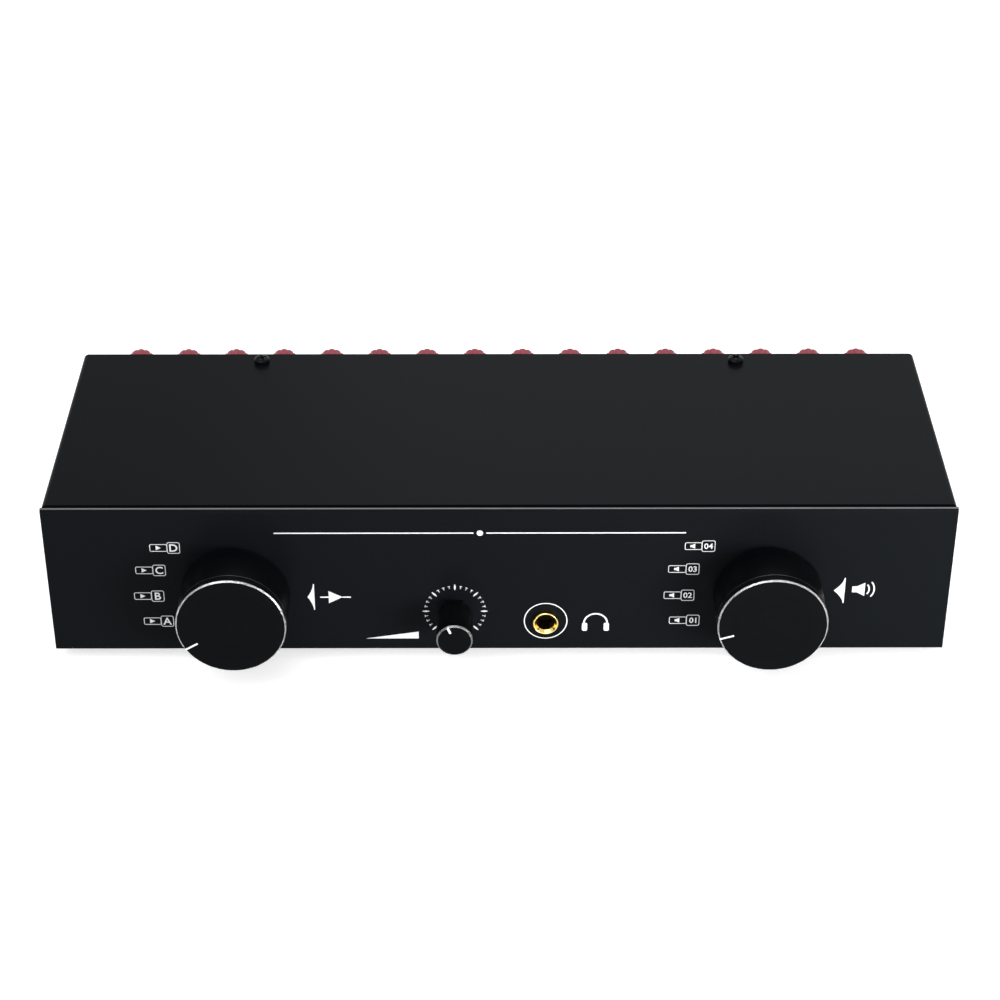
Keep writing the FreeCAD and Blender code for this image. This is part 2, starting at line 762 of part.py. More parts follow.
def make_switch_shafts():
    """Each selector's shaft with its sixteen-position detent wheel, and the rotors that turn in the wafers."""
    for name, across in SWITCH_X.items():
        depth = f"first_wafer_place + {WAFERS_PER_SWITCH - 1} * wafer_spacing + 2 * wafer_thickness"
        shaft = rod(
            f"{name}_shaft_rod", across, f"{FRONT} - shaft_end_reach", SWITCH_Z, "shaft_radius",
            f"shaft_end_reach + sheet + {depth}",
        )
        wheel = prism(
            f"{name}_detent_wheel", across, f"{FRONT} + sheet + (index_depth - detent_thickness) / 2",
            SWITCH_Z, 16, "detent_radius", "detent_thickness",
        )
        node(fuse(f"{name}_shaft_joined", shaft, wheel), f"{name}_shaft")
        rotors = []
        for wafer in range(WAFERS_PER_SWITCH):
            disc = rod(
                f"{name}_rotor_disc", across, wafer_y(wafer), SWITCH_Z, "rotor_radius", "wafer_thickness",
            )
            bore = rod(
                f"{name}_rotor_bore", across, f"{wafer_y(wafer)} - sheet", SWITCH_Z,
                "shaft_radius + knob_bore_gap", "wafer_thickness + 2 * sheet",
            )
            rotors.append(cut(f"{name}_rotor_{wafer}", disc, bore))
        node(group(f"{name}_rotor_set", rotors), f"{name}_rotors")


def make_volume_control():
    """The small knob, its shaft with the wiper disc, and the can with its threaded bushing."""
    turning = turned_knob(
        "volume_knob", "volume_knob_radius", "volume_face_reach", "volume_panel_gap", "volume_shaft_reach",
        False,
    )
    slot = box(
        "volume_pointer_slot", "volume_knob_radius - volume_pointer_length", "-volume_face_reach - sheet",
        "-pointer_width / 2", "volume_pointer_length + sheet", "sheet + pointer_depth", "pointer_width",
    )
    knob = cut("volume_knob_master", turning, slot)
    node(at_pointer("volume_knob_placed", knob, "volume_x", VOLUME_Z, "volume_pointer_angle"), "volume_knob")
    inner = f"{FRONT} + sheet"
    shaft = rod(
        "volume_shaft_rod", "volume_x", f"{FRONT} - volume_shaft_reach", VOLUME_Z, "shaft_radius",
        "volume_shaft_reach + sheet + pot_depth / 2",
    )
    wiper = rod(
        "volume_wiper", "volume_x", f"{inner} + (pot_depth - wiper_thickness) / 2", VOLUME_Z,
        "wiper_radius", "wiper_thickness",
    )
    node(fuse("volume_shaft_joined", shaft, wiper), "volume_shaft")
    can = rod("pot_can", "volume_x", inner, VOLUME_Z, "pot_radius", "pot_depth")
    bushing = rod(
        "volume_bushing", "volume_x", f"{FRONT} - volume_bushing_reach", VOLUME_Z,
        "volume_bushing_radius", "volume_bushing_reach + 2 * sheet",
    )
    hollow = rod(
        "pot_hollow", "volume_x", f"{inner} + pot_wall", VOLUME_Z, "pot_radius - pot_wall",
        "pot_depth - 2 * pot_wall",
    )
    bore = rod(
        "volume_bushing_bore", "volume_x", f"{FRONT} - case_depth / 2", VOLUME_Z,
        "shaft_radius + shaft_clearance", "case_depth / 2 + sheet + pot_depth / 2",
    )
    node(cut("pot_case", fuse("pot_blank", can, bushing), hollow, bore), "volume_pot")


def make_headphone_jack():
    """The jack's moulded body behind the panel, its metal ferrule through the panel, and its solder contacts."""
    inner = f"({FRONT} + sheet)"
    bottom = f"({JACK_Z} - jack_body_half_height)"
    body = box(
        "jack_block", "jack_x - jack_body_width / 2", inner, bottom,
        "jack_body_width", "jack_body_depth", "2 * jack_body_half_height",
    )
    bore = rod("jack_bore", "jack_x", f"{inner} - sheet", JACK_Z, "jack_bore_radius", "jack_bore_depth")
    seat = rod(
        "jack_seat", "jack_x", f"{inner} - sheet", JACK_Z, "jack_thread_radius + knob_bore_gap",
        "jack_sleeve_length + sheet",
    )
    node(cut("jack_bored", body, bore, seat), "jack_body")
    flange = rod(
        "ferrule_flange", "jack_x", f"{FRONT} - jack_ferrule_reach", JACK_Z, "jack_ferrule_radius",
        "jack_ferrule_reach",
    )
    sleeve = rod(
        "ferrule_sleeve", "jack_x", FRONT, JACK_Z, "jack_thread_radius", "sheet + jack_sleeve_length",
    )
    hole = rod(
        "ferrule_hole", "jack_x", f"{FRONT} - 2 * jack_ferrule_reach", JACK_Z, "jack_bore_radius",
        "4 * jack_ferrule_reach + jack_sleeve_length",
    )
    node(cut("ferrule_bored", fuse("ferrule_blank", flange, sleeve), hole), "jack_ferrule")
    contacts = [
        box(
            f"jack_contact_{order}", "jack_x - jack_contact_width / 2",
            f"{inner} + jack_contact_spacing * ({order} + 0.5)",
            f"{bottom} + 2 * jack_body_half_height", "jack_contact_width", "jack_contact_thickness",
            "jack_contact_height",
        )
        for order in range(3)
    ]
    node(group("jack_contact_set", contacts), "jack_contacts")


BOARD_Y = "(-case_depth / 2 + headphone_board_place)"
BOARD_Z = "(foot_height + sheet + board_rest_height)"
BOARD_TOP = "(foot_height + sheet + board_rest_height + headphone_board_thickness)"


def make_headphone_board():
    """A small circuit board on four pillars, with the power resistors that feed the headphones."""
    plate = box(
        "headphone_plate", "-headphone_board_width / 2", BOARD_Y, BOARD_Z,
        "headphone_board_width", "headphone_board_depth", "headphone_board_thickness",
    )
    pillars = [
        rod(
            "board_pillar", f"{side} * (headphone_board_width / 2 - 2 * pillar_radius)",
            f"{BOARD_Y} + headphone_board_depth / 2 + {end} * (headphone_board_depth / 2 - 2 * pillar_radius)",
            "foot_height + sheet", "pillar_radius", "board_rest_height", "up",
        )
        for side in (-1, 1)
        for end in (-1, 1)
    ]
    node(group("headphone_board_set", [plate, *pillars]), "headphone_board")
    resistors = [
        rod(
            "resistor", f"{side} * resistor_middle - resistor_length / 2",
            f"{BOARD_Y} + resistor_inset + {order} * resistor_spacing", f"{BOARD_TOP} + resistor_radius",
            "resistor_radius", "resistor_length", "right",
        )
        for side in (-1, 1)
        for order in (0.5, 1.5)
    ]
    node(group("resistor_set", resistors), "headphone_resistors")


def make_wiring():
    """Flat looms: posts to each switch, switch to switch, and volume control and jack to the headphone board."""
    looms = []
    back = f"({REAR} - stud_head_length - loom_thickness)"
    rear_lug_tip = f"({wafer_y(WAFERS_PER_SWITCH - 1)} + wafer_thickness + lug_length)"
    front_lug_tip = f"({wafer_y(0)} + wafer_thickness + lug_length)"
    top_lug_z = f"({SWITCH_Z} + wafer_radius - lug_length)"
    half = POST_COLUMNS // 2
    for first, (name, across) in zip((0, half), SWITCH_X.items()):
        strips = [
            box(
                f"{name}_row_loom", f"{column_x(first)} - loom_width / 2", back, f"{height} - loom_width / 2",
                f"{half - 1} * post_pitch + loom_width", "loom_thickness", "loom_width",
            )
            for height in ROW_HEIGHTS.values()
        ]
        riser = box(
            f"{name}_loom_riser", f"{across} - loom_width / 2", f"{back} - loom_thickness",
            f"{LOWER_Z} - loom_width / 2", "loom_width", "loom_thickness", "post_row_gap + loom_width",
        )
        run = box(
            f"{name}_loom_run", f"{across} - loom_width / 2", rear_lug_tip, top_lug_z, "loom_width",
            f"{back} - {rear_lug_tip}", "loom_thickness",
        )
        looms.append(fuse(f"{name}_loom", *strips, riser, run))
    looms.append(box(
        "link_loom", "amp_switch_x - loom_width / 2", front_lug_tip, top_lug_z,
        "speaker_switch_x - amp_switch_x + loom_width", "loom_thickness", "loom_width",
    ))
    for name, across, start in (
        ("volume_loom", "volume_x", f"({FRONT} + sheet + pot_depth)"),
        ("jack_loom", "jack_x", f"({FRONT} + sheet + jack_body_depth)"),
    ):
        looms.append(box(
            name, f"{across} - loom_width / 2", start, BOARD_TOP, "loom_width",
            f"{BOARD_Y} + loom_width - {start}", "loom_thickness",
        ))
    node(group("loom_set", looms), "wiring")


def save_parts():
    """Check every object and every node's shape, then write one file per node."""
    doc.recompute()
    failed = [item.Name for item in doc.Objects if {"Invalid", "Error"} & set(item.State)]
    if failed:
        raise RuntimeError(f"objects failed: {failed}")
    os.makedirs("parts", exist_ok=True)
    for item in nodes:
        shape = item.Shape
        if shape.isNull() or not shape.isValid() or not shape.Solids:
            raise RuntimeError(f"{item.Label} has no valid solid")
        shape.exportStep(os.path.join("parts", f"{item.Label}.step"))
    print(f"{len(nodes)} nodes written")


make_chassis()
make_cover()
make_case_screws()
make_feet()
make_terminal_boards()
make_post_studs()
make_post_caps()
make_index_housings()
make_switch_decks()
make_panel_nuts()
make_large_knobs()
make_switch_shafts()
make_volume_control()
make_headphone_jack()
make_headphone_board()
make_wiring()
save_parts()
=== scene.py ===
"""Looks of a desktop speaker selector switch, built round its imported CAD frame.

The CAD nodes give every size and place. This script dresses them, replaces the turned, moulded and
domed pieces by finer surfaces, prints the front panel and sets the camera, floor and lamps.
All shapes are written in millimetres in the part's own frame and put into Blender in metres.
"""

from __future__ import annotations

import logging
import math
from dataclasses import dataclass, field
from enum import Enum
from typing import Iterable, Sequence

import bpy
import numpy as np
from mathutils import Matrix, Vector

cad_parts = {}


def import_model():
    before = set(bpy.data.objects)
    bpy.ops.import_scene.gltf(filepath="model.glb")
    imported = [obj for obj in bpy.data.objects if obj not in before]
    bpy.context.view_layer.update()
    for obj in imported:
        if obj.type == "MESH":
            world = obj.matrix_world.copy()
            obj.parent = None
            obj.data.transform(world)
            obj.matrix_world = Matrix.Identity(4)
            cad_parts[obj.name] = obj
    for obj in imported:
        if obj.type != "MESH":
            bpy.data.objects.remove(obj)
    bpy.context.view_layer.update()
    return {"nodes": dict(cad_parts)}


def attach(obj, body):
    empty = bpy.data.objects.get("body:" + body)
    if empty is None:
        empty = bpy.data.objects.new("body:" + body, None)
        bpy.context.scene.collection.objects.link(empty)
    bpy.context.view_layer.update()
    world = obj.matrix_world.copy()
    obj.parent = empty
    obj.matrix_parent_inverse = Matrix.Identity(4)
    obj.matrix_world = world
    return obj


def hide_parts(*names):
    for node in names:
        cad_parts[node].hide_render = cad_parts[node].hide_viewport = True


LOG = logging.getLogger("speaker_selector")

MM = 0.001

CASE_HALF_WIDTH = 160.0
PANEL_FRONT = -55.0
CASE_BOTTOM = 5.0
CASE_TOP = 65.3
SELECTOR_HEIGHT = 31.0
AMP_X = -93.5
SPEAKER_X = 95.2
VOLUME_X = -15.8
VOLUME_HEIGHT = 22.0
JACK_X = 16.6
JACK_HEIGHT = 17.7
POST_PITCH = 18.8
POST_COLUMNS = 16
ROW_HEIGHTS = {"red": 51.3, "black": 32.3}
BOARD_COUNT = 8
LIP_TOP = 65.4
LIP_BACK = -53.6
LIP_RADIUS = 1.2
# Painted highlight along the front panel's upper bend: the coat's colour is lightened in a narrow band there,
# standing in for the lamps' reflection on the bend.
HIGHLIGHT_LEAN = math.radians(20.0)
HIGHLIGHT_WIDTH = 0.06
LIP_CENTRE = (PANEL_FRONT + LIP_RADIUS, LIP_TOP - LIP_RADIUS)
HIGHLIGHT_END = LIP_CENTRE[1] * math.cos(HIGHLIGHT_LEAN) - LIP_CENTRE[0] * math.sin(HIGHLIGHT_LEAN) + LIP_RADIUS
HIGHLIGHT_START = HIGHLIGHT_END - HIGHLIGHT_WIDTH
COAT_ROUGHNESS = 0.12
BRUSHED_STRETCH = 0.03
LEAST_ROUGHNESS = 0.02
BUMP_HEIGHT = 0.0001


@dataclass
class Surface:
    """Points in millimetres and faces over them, joined to larger surfaces before one mesh is made."""

    points: np.ndarray
    faces: list[tuple[int, ...]]

    def moved(self, x: float = 0.0, y: float = 0.0, z: float = 0.0) -> "Surface":
        """The same surface shifted by x, y and z."""
        return Surface(self.points + np.array([x, y, z]), self.faces)

    def turned(self, matrix: np.ndarray) -> "Surface":
        """The same surface with each point multiplied by a 3 by 3 rotation."""
        return Surface(self.points @ matrix.T, self.faces)

    def mesh_object(self, name: str, sharp_angle: float = 35.0) -> bpy.types.Object:
        """Make a smooth-shaded object whose edges stay sharp above an angle.

        Args:
            name: name of the new piece.
            sharp_angle: edges between faces that meet at more than this many degrees stay sharp.

        Returns:
            The linked object, at the origin, in metres.
        """
        mesh = bpy.data.meshes.new(name)
        mesh.from_pydata((self.points * MM).tolist(), [], self.faces)
        mesh.validate()
        mesh.shade_smooth()
        mesh.set_sharp_from_angle(angle=math.radians(sharp_angle))
        mesh.update()
        item = bpy.data.objects.new(name, mesh)
        bpy.context.scene.collection.objects.link(item)
        return item


def joined(surfaces: Iterable[Surface]) -> Surface:
    """Put several surfaces into one, each with its own points.

    Args:
        surfaces: the surfaces, in order.

    Returns:
        One surface.
    """
    points: list[np.ndarray] = []
    faces: list[tuple[int, ...]] = []
    start = 0
    for surface in surfaces:
        points.append(surface.points)
        faces.extend(tuple(start + index for index in face) for face in surface.faces)
        start += len(surface.points)
    return Surface(np.concatenate(points), faces)


def grid_faces(rows: int, columns: int, close_rows: bool, close_columns: bool) -> np.ndarray:
    """Quads over a grid of points numbered row by row.

    Args:
        rows: number of rows of points.
        columns: number of points in a row.
        close_rows: whether the last row joins the first.
        close_columns: whether the last column joins the first.

    Returns:
        An array of four point numbers per quad.
    """
    row = np.arange(rows if close_rows else rows - 1)
    column = np.arange(columns if close_columns else columns - 1)
    r, c = np.meshgrid(row, column, indexing="ij")
    next_r = (r + 1) % rows
    next_c = (c + 1) % columns
    quads = [r * columns + c, r * columns + next_c, next_r * columns + next_c, next_r * columns + c]
    return np.stack(quads, axis=-1).reshape(-1, 4)


def over_poles(points: np.ndarray, quads: np.ndarray, keep: np.ndarray) -> Surface:
    """A surface over a grid in which one point may stand for a whole row, as at a pole.

    Args:
        points: all the points of the grid.
        quads: four point numbers per face.
        keep: for each point, the number of the one that stands for it.

    Returns:
        The surface with its used points alone, and with triangles at the poles.
    """
    used, packed = np.unique(keep[quads], return_inverse=True)
    corners = [tuple(dict.fromkeys(quad)) for quad in packed.reshape(quads.shape).tolist()]
    return Surface(points[used], [face for face in corners if len(face) > 2])


def prism(near: np.ndarray, far: np.ndarray) -> Surface:
    """A closed solid between two loops: a face on each, and quads from each point to its partner.

    Args:
        near: points of the first loop, counter-clockwise seen from outside.
        far: as many points of the second loop.

    Returns:
        The solid's surface.
    """
    count = len(near)
    walls = grid_faces(2, count, False, True)[:, ::-1]
    faces = [tuple(range(count)), tuple(range(2 * count - 1, count - 1, -1)), *map(tuple, walls.tolist())]
    return Surface(np.concatenate([near, far]), faces)


def lathe(profile: Sequence[tuple[float, float]], segments: int, ring: bool = False) -> Surface:
    """Turn a profile of (radius, y) round the Y axis: point = (r cos t, y, r sin t).

    Args:
        profile: corners from the front centre outwards and back, so that faces point outwards.
        segments: points round the axis.
        ring: whether the profile is a closed loop instead of a line that ends on the axis.

    Returns:
        The turned surface, with one point where the profile meets the axis.
    """
    line = np.asarray(profile, float)
    angle = np.linspace(0.0, 2.0 * math.pi, segments, endpoint=False)
    radius, along = line[:, :1], line[:, 1:]
    x = radius * np.cos(angle)
    z = radius * np.sin(angle)
    y = np.broadcast_to(along, x.shape)
    points = np.stack([x, y, z], axis=-1).reshape(-1, 3)
    quads = grid_faces(len(line), segments, ring, True)[:, ::-1]
    keep = np.arange(len(points))
    for row in np.flatnonzero(line[:, 0] < 1e-6):
        keep[row * segments:(row + 1) * segments] = row * segments
    return over_poles(points, quads, keep)


def rounded(profile: Sequence[tuple[float, float]], radii: Sequence[float], steps: int = 4,
            most: float = 0.45) -> list[tuple[float, float]]:
    """Round the corners of a profile with short curves between the points where they begin and end.

    Args:
        profile: corner points.
        radii: rounding length at each corner, 0 for a corner that stays.
        steps: pieces in each curve.
        most: the largest share of a side that one curve may take.

    Returns:
        The longer profile.
    """
    line = [np.asarray(point, float) for point in profile]
    made: list[tuple[float, float]] = []
    for index, corner in enumerate(line):
        size = radii[index]
        if size <= 0.0 or index in (0, len(line) - 1):
            made.append(tuple(corner))
            continue
        back = line[index - 1] - corner
        ahead = line[index + 1] - corner
        start, end = (corner + way / np.linalg.norm(way) * min(size, np.linalg.norm(way) * most)
                      for way in (back, ahead))
        for share in np.linspace(0.0, 1.0, steps + 1):
            point = (1 - share) ** 2 * start + 2 * share * (1 - share) * corner + share ** 2 * end
            made.append(tuple(point))
    return made


def band(outer: np.ndarray, inner: np.ndarray, front: float, back: float) -> Surface:
    """A flat closed strip between two loops of (x, z), from y = front to y = back.

    Args:
        outer: outer loop, counter-clockwise seen from the front.
        inner: inner loop with as many points.
        front: y of the side that shows.
        back: y of the side on the panel.

    Returns:
        A closed strip with four walls.
    """
    walls = []
    for loop, depth in ((outer, back), (outer, front), (inner, front), (inner, back)):
        walls.append(np.column_stack([loop[:, 0], np.full(len(loop), depth), loop[:, 1]]))
    quads = grid_faces(4, len(outer), True, True)
    return Surface(np.concatenate(walls), [tuple(quad) for quad in quads.tolist()])


def plate(loop: np.ndarray, front: float, back: float) -> Surface:
    """A flat filled shape from a loop of (x, z), counter-clockwise seen from the front.

    Args:
        loop: outline points.
        front: y of the side that shows.
        back: y of the side on the panel.

    Returns:
        A closed plate.
    """
    near, far = (np.column_stack([loop[:, 0], np.full(len(loop), y), loop[:, 1]]) for y in (front, back))
    return prism(near, far)


def rounded_box(x0: float, z0: float, x1: float, z1: float, radius: float, steps: int = 5) -> np.ndarray:
    """Loop of (x, z) round a box with round corners: each corner is a quarter circle of the radius.

    Args:
        x0: left side.
        z0: lower side.
        x1: right side.
        z1: upper side.
        radius: corner radius.
        steps: pieces in each corner.

    Returns:
        The loop, counter-clockwise.
    """
    turn = np.linspace(0.0, math.pi / 2, steps + 1)
    loop = []
    centres = [(x1 - radius, z1 - radius), (x0 + radius, z1 - radius),
               (x0 + radius, z0 + radius), (x1 - radius, z0 + radius)]
    for quarter, (x, z) in enumerate(centres):
        angle = turn + quarter * math.pi / 2
        loop.append(np.column_stack([x + radius * np.cos(angle), z + radius * np.sin(angle)]))
    return np.concatenate(loop)


def arc_loop(x: float, z: float, radius: float, count: int = 96) -> np.ndarray:
    """Loop of (x, z) round a full circle."""
    angle = np.linspace(0.0, 2.0 * math.pi, count, endpoint=False)
    return np.column_stack([x + radius * np.cos(angle), z + radius * np.sin(angle)])


def sector(x: float, z: float, inner: float, outer: float, start: float, end: float,
           steps: int = 16) -> np.ndarray:
    """Loop of (x, z) round a piece of a ring: out along the outer arc and back along the inner one.

    Args:
        x: centre.
        z: centre.
        inner: inner radius.
        outer: outer radius.
        start: first angle in degrees from +X.
        end: last angle in degrees.
        steps: pieces along each arc.

    Returns:
        The loop, counter-clockwise.
    """
    angle = np.radians(np.linspace(start, end, steps + 1))
    away = np.column_stack([x + outer * np.cos(angle), z + outer * np.sin(angle)])
    home = np.column_stack([x + inner * np.cos(angle[::-1]), z + inner * np.sin(angle[::-1])])
    return np.concatenate([away, home])


class Grain(Enum):
    """Small-scale relief of a finish."""

    POWDER = "powder"
    SPUN = "spun"
    BRUSHED = "brushed"
    MOULDED = "moulded"
    PLAIN = "plain"


def shader_group(name: str, inputs: Sequence[tuple[str, str, float]],
                 outputs: Sequence[str]) -> bpy.types.NodeTree:
    """Start a shader node group with its sockets.

    Args:
        name: name of the group.
        inputs: socket name, socket type and default of each input.
        outputs: names of the value outputs.

    Returns:
        The new tree, with its input and output nodes named In and Out.
    """
    tree = bpy.data.node_groups.new(name, "ShaderNodeTree")
    for label, kind, default in inputs:
        socket = tree.interface.new_socket(label, in_out="INPUT", socket_type=kind)
        if kind == "NodeSocketFloat":
            socket.default_value = default
    for label in outputs:
        tree.interface.new_socket(label, in_out="OUTPUT", socket_type="NodeSocketFloat")
    tree.nodes.new("NodeGroupInput").name = "In"
    tree.nodes.new("NodeGroupOutput").name = "Out"
    return tree


def worked(tree: bpy.types.NodeTree, operation: str, first: bpy.types.NodeSocket,
           second: bpy.types.NodeSocket | float | None = None) -> bpy.types.NodeSocket:
    """Add a math node.

    Args:
        tree: the node tree.
        operation: what the node does.
        first: the first value's socket.
        second: the second value, a socket or a number.

    Returns:
        The socket of the result.
    """
    node = tree.nodes.new("ShaderNodeMath")
    node.operation = operation
    tree.links.new(first, node.inputs[0])
    if isinstance(second, float):
        node.inputs[1].default_value = second
    elif second is not None:
        tree.links.new(second, node.inputs[1])
    return node.outputs[0]


def fine_grain_group() -> bpy.types.NodeTree:
    """Fine bumps and slow clouds of a sprayed, moulded or brushed surface.

    Height is fine noise stretched along one axis; Cloud is noise a hundred times larger for colour and gloss.

    Returns:
        The node group.
    """
    tree = shader_group(
        "fine_grain",
        [("Coordinates", "NodeSocketVector", 0.0), ("Scale", "NodeSocketFloat", 2500.0),
         ("Stretch", "NodeSocketFloat", 1.0), ("Cloud Scale", "NodeSocketFloat", 25.0)],
        ["Height", "Cloud"],
    )
    nodes, links = tree.nodes, tree.links
    stretch = nodes.new("ShaderNodeCombineXYZ")
    stretch.inputs["Y"].default_value = 1.0
    stretch.inputs["Z"].default_value = 1.0
    links.new(nodes["In"].outputs["Stretch"], stretch.inputs["X"])
    scaled = nodes.new("ShaderNodeVectorMath")
    scaled.operation = "MULTIPLY"
    links.new(nodes["In"].outputs["Coordinates"], scaled.inputs[0])
    links.new(stretch.outputs[0], scaled.inputs[1])
    fine = nodes.new("ShaderNodeTexNoise")
    fine.inputs["Detail"].default_value = 3.0
    links.new(scaled.outputs[0], fine.inputs["Vector"])
    links.new(nodes["In"].outputs["Scale"], fine.inputs["Scale"])
    cloud = nodes.new("ShaderNodeTexNoise")
    cloud.inputs["Detail"].default_value = 4.0
    links.new(nodes["In"].outputs["Coordinates"], cloud.inputs["Vector"])
    links.new(nodes["In"].outputs["Cloud Scale"], cloud.inputs["Scale"])
    links.new(fine.outputs["Fac"], nodes["Out"].inputs["Height"])
    links.new(cloud.outputs["Fac"], nodes["Out"].inputs["Cloud"])
    return tree


def spun_rings_group() -> bpy.types.NodeTree:
    """Fine concentric turning marks round an axis along Y: noise read at the distance from the axis.

    Returns:
        The node group, with the axis' X and Z in metres as inputs.
    """
    tree = shader_group(
        "spun_rings",
        [("Coordinates", "NodeSocketVector", 0.0), ("Centre X", "NodeSocketFloat", 0.0),
         ("Centre Z", "NodeSocketFloat", 0.0), ("Rings", "NodeSocketFloat", 3000.0)],
        ["Height", "Cloud"],
    )
    nodes, links = tree.nodes, tree.links
    split = nodes.new("ShaderNodeSeparateXYZ")
    links.new(nodes["In"].outputs["Coordinates"], split.inputs[0])
    squares = []
    for axis, centre in (("X", "Centre X"), ("Z", "Centre Z")):
        away = worked(tree, "SUBTRACT", split.outputs[axis], nodes["In"].outputs[centre])
        squares.append(worked(tree, "MULTIPLY", away, away))
    radius = worked(tree, "SQRT", worked(tree, "ADD", squares[0], squares[1]))
    place = nodes.new("ShaderNodeCombineXYZ")
    links.new(radius, place.inputs["X"])
    links.new(split.outputs["Y"], place.inputs["Y"])
    for output, detail, factor in (("Height", 2.0, 1.0), ("Cloud", 1.0, 0.12)):
        noise = nodes.new("ShaderNodeTexNoise")
        noise.inputs["Detail"].default_value = detail
        links.new(place.outputs[0], noise.inputs["Vector"])
        links.new(worked(tree, "MULTIPLY", nodes["In"].outputs["Rings"], factor), noise.inputs["Scale"])
        links.new(noise.outputs["Fac"], nodes["Out"].inputs[output])
    return tree


def painted_bend_highlight_group() -> bpy.types.NodeTree:
    """A mask for the painted highlight along a bend that runs in X between a face towards -Y and one towards
    +Z.

    Mask = how far z cos(lean) - y sin(lean) lies between two distances, so it is 1 only where the bend's
    outside faces that way.

    Returns:
        The node group.
    """
    tree = shader_group(
        "painted_bend_highlight",
        [("Coordinates", "NodeSocketVector", 0.0), ("Start", "NodeSocketFloat", HIGHLIGHT_START * MM),
         ("End", "NodeSocketFloat", HIGHLIGHT_END * MM)],
        ["Mask"],
    )
    nodes, links = tree.nodes, tree.links
    lean = nodes.new("ShaderNodeVectorMath")
    lean.operation = "DOT_PRODUCT"
    lean.inputs[1].default_value = (0.0, -math.sin(HIGHLIGHT_LEAN), math.cos(HIGHLIGHT_LEAN))
    links.new(nodes["In"].outputs["Coordinates"], lean.inputs[0])
    span = nodes.new("ShaderNodeMapRange")
    span.interpolation_type = "SMOOTHSTEP"
    links.new(lean.outputs["Value"], span.inputs["Value"])
    links.new(nodes["In"].outputs["Start"], span.inputs["From Min"])
    links.new(nodes["In"].outputs["End"], span.inputs["From Max"])
    links.new(span.outputs["Result"], nodes["Out"].inputs["Mask"])
    return tree


@dataclass(frozen=True)
class Finish:
    """One finish of the switch: colour, gloss and the relief that its making leaves."""

    name: str
    color: tuple[float, float, float]
    roughness: float
    grain: Grain = Grain.PLAIN
    metallic: float = 0.0
    specular: float = 0.5
    coat: float = 0.0
    relief: float = 0.15
    scale: float = 2500.0
    cloud_scale: float = 25.0
    variation: float = 0.08
    gloss_change: float = 0.05
    centre: tuple[float, float] = (0.0, 0.0)
    # Grey of a painted highlight along the panel's upper bend, 0 for none.
    painted_bend_highlight: float = 0.0

    def material(self) -> bpy.types.Material:
        """Build the finish once, or give the one that is there.

        Returns:
            A node material whose colour, roughness and relief change over the surface.
        """
        made = bpy.data.materials.get(self.name)
        if made is not None:
            return made
        material = bpy.data.materials.new(self.name)
        material.use_nodes = True
        nodes, links = material.node_tree.nodes, material.node_tree.links
        shader = nodes["Principled BSDF"]
        shader.inputs["Metallic"].default_value = self.metallic
        shader.inputs["Specular IOR Level"].default_value = self.specular
        shader.inputs["Coat Weight"].default_value = self.coat
        shader.inputs["Coat Roughness"].default_value = COAT_ROUGHNESS
        coordinates = nodes.new("ShaderNodeTexCoord")
        relief = nodes.new("ShaderNodeGroup")
        if self.grain is Grain.SPUN:
            relief.node_tree = bpy.data.node_groups["spun_rings"]
            relief.inputs["Centre X"].default_value = self.centre[0] * MM
            relief.inputs["Centre Z"].default_value = self.centre[1] * MM
            relief.inputs["Rings"].default_value = self.scale
        else:
            relief.node_tree = bpy.data.node_groups["fine_grain"]
            relief.inputs["Scale"].default_value = self.scale
            relief.inputs["Stretch"].default_value = BRUSHED_STRETCH if self.grain is Grain.BRUSHED else 1.0
            relief.inputs["Cloud Scale"].default_value = self.cloud_scale
        links.new(coordinates.outputs["Object"], relief.inputs["Coordinates"])
        mix = nodes.new("ShaderNodeMix")
        mix.data_type = "RGBA"
        mix.inputs["A"].default_value = (*[c * (1.0 - self.variation) for c in self.color], 1.0)
        mix.inputs["B"].default_value = (*[min(1.0, c * (1.0 + self.variation)) for c in self.color], 1.0)
        links.new(relief.outputs["Cloud"], mix.inputs["Factor"])
        color = mix.outputs["Result"]
        # Painted highlight: the colour turns lighter along the upper bend, in place of the lamps' reflection.
        if self.painted_bend_highlight:
            color = self.painted_highlight(material.node_tree, coordinates.outputs["Object"], color)
        links.new(color, shader.inputs["Base Color"])
        gloss = nodes.new("ShaderNodeMapRange")
        gloss.inputs["To Min"].default_value = max(LEAST_ROUGHNESS, self.roughness - self.gloss_change)
        gloss.inputs["To Max"].default_value = min(1.0, self.roughness + self.gloss_change)
        links.new(relief.outputs["Cloud"], gloss.inputs["Value"])
        links.new(gloss.outputs["Result"], shader.inputs["Roughness"])
        bump = nodes.new("ShaderNodeBump")
        bump.inputs["Strength"].default_value = self.relief
        bump.inputs["Distance"].default_value = BUMP_HEIGHT
        links.new(relief.outputs["Height"], bump.inputs["Height"])
        links.new(bump.outputs["Normal"], shader.inputs["Normal"])
        return material

    def painted_highlight(self, tree: bpy.types.NodeTree, place: bpy.types.NodeSocket,
             color: bpy.types.NodeSocket) -> bpy.types.NodeSocket:
        """Paint a highlight along the panel's upper bend: a lighter colour where the lamps would be reflected.

        Args:
            tree: the material's node tree.
            place: the coordinates' socket.
            color: the colour so far.

        Returns:
            The socket of the lightened colour.
        """
        highlight_mask = tree.nodes.new("ShaderNodeGroup")
        highlight_mask.node_tree = bpy.data.node_groups["painted_bend_highlight"]
        tree.links.new(place, highlight_mask.inputs["Coordinates"])
        mix = tree.nodes.new("ShaderNodeMix")
        mix.data_type = "RGBA"
        tree.links.new(highlight_mask.outputs["Mask"], mix.inputs["Factor"])
        tree.links.new(color, mix.inputs["A"])
        # Grey of the painted highlight.
        mix.inputs["B"].default_value = (self.painted_bend_highlight, self.painted_bend_highlight, self.painted_bend_highlight * 1.03, 1.0)
        return mix.outputs["Result"]


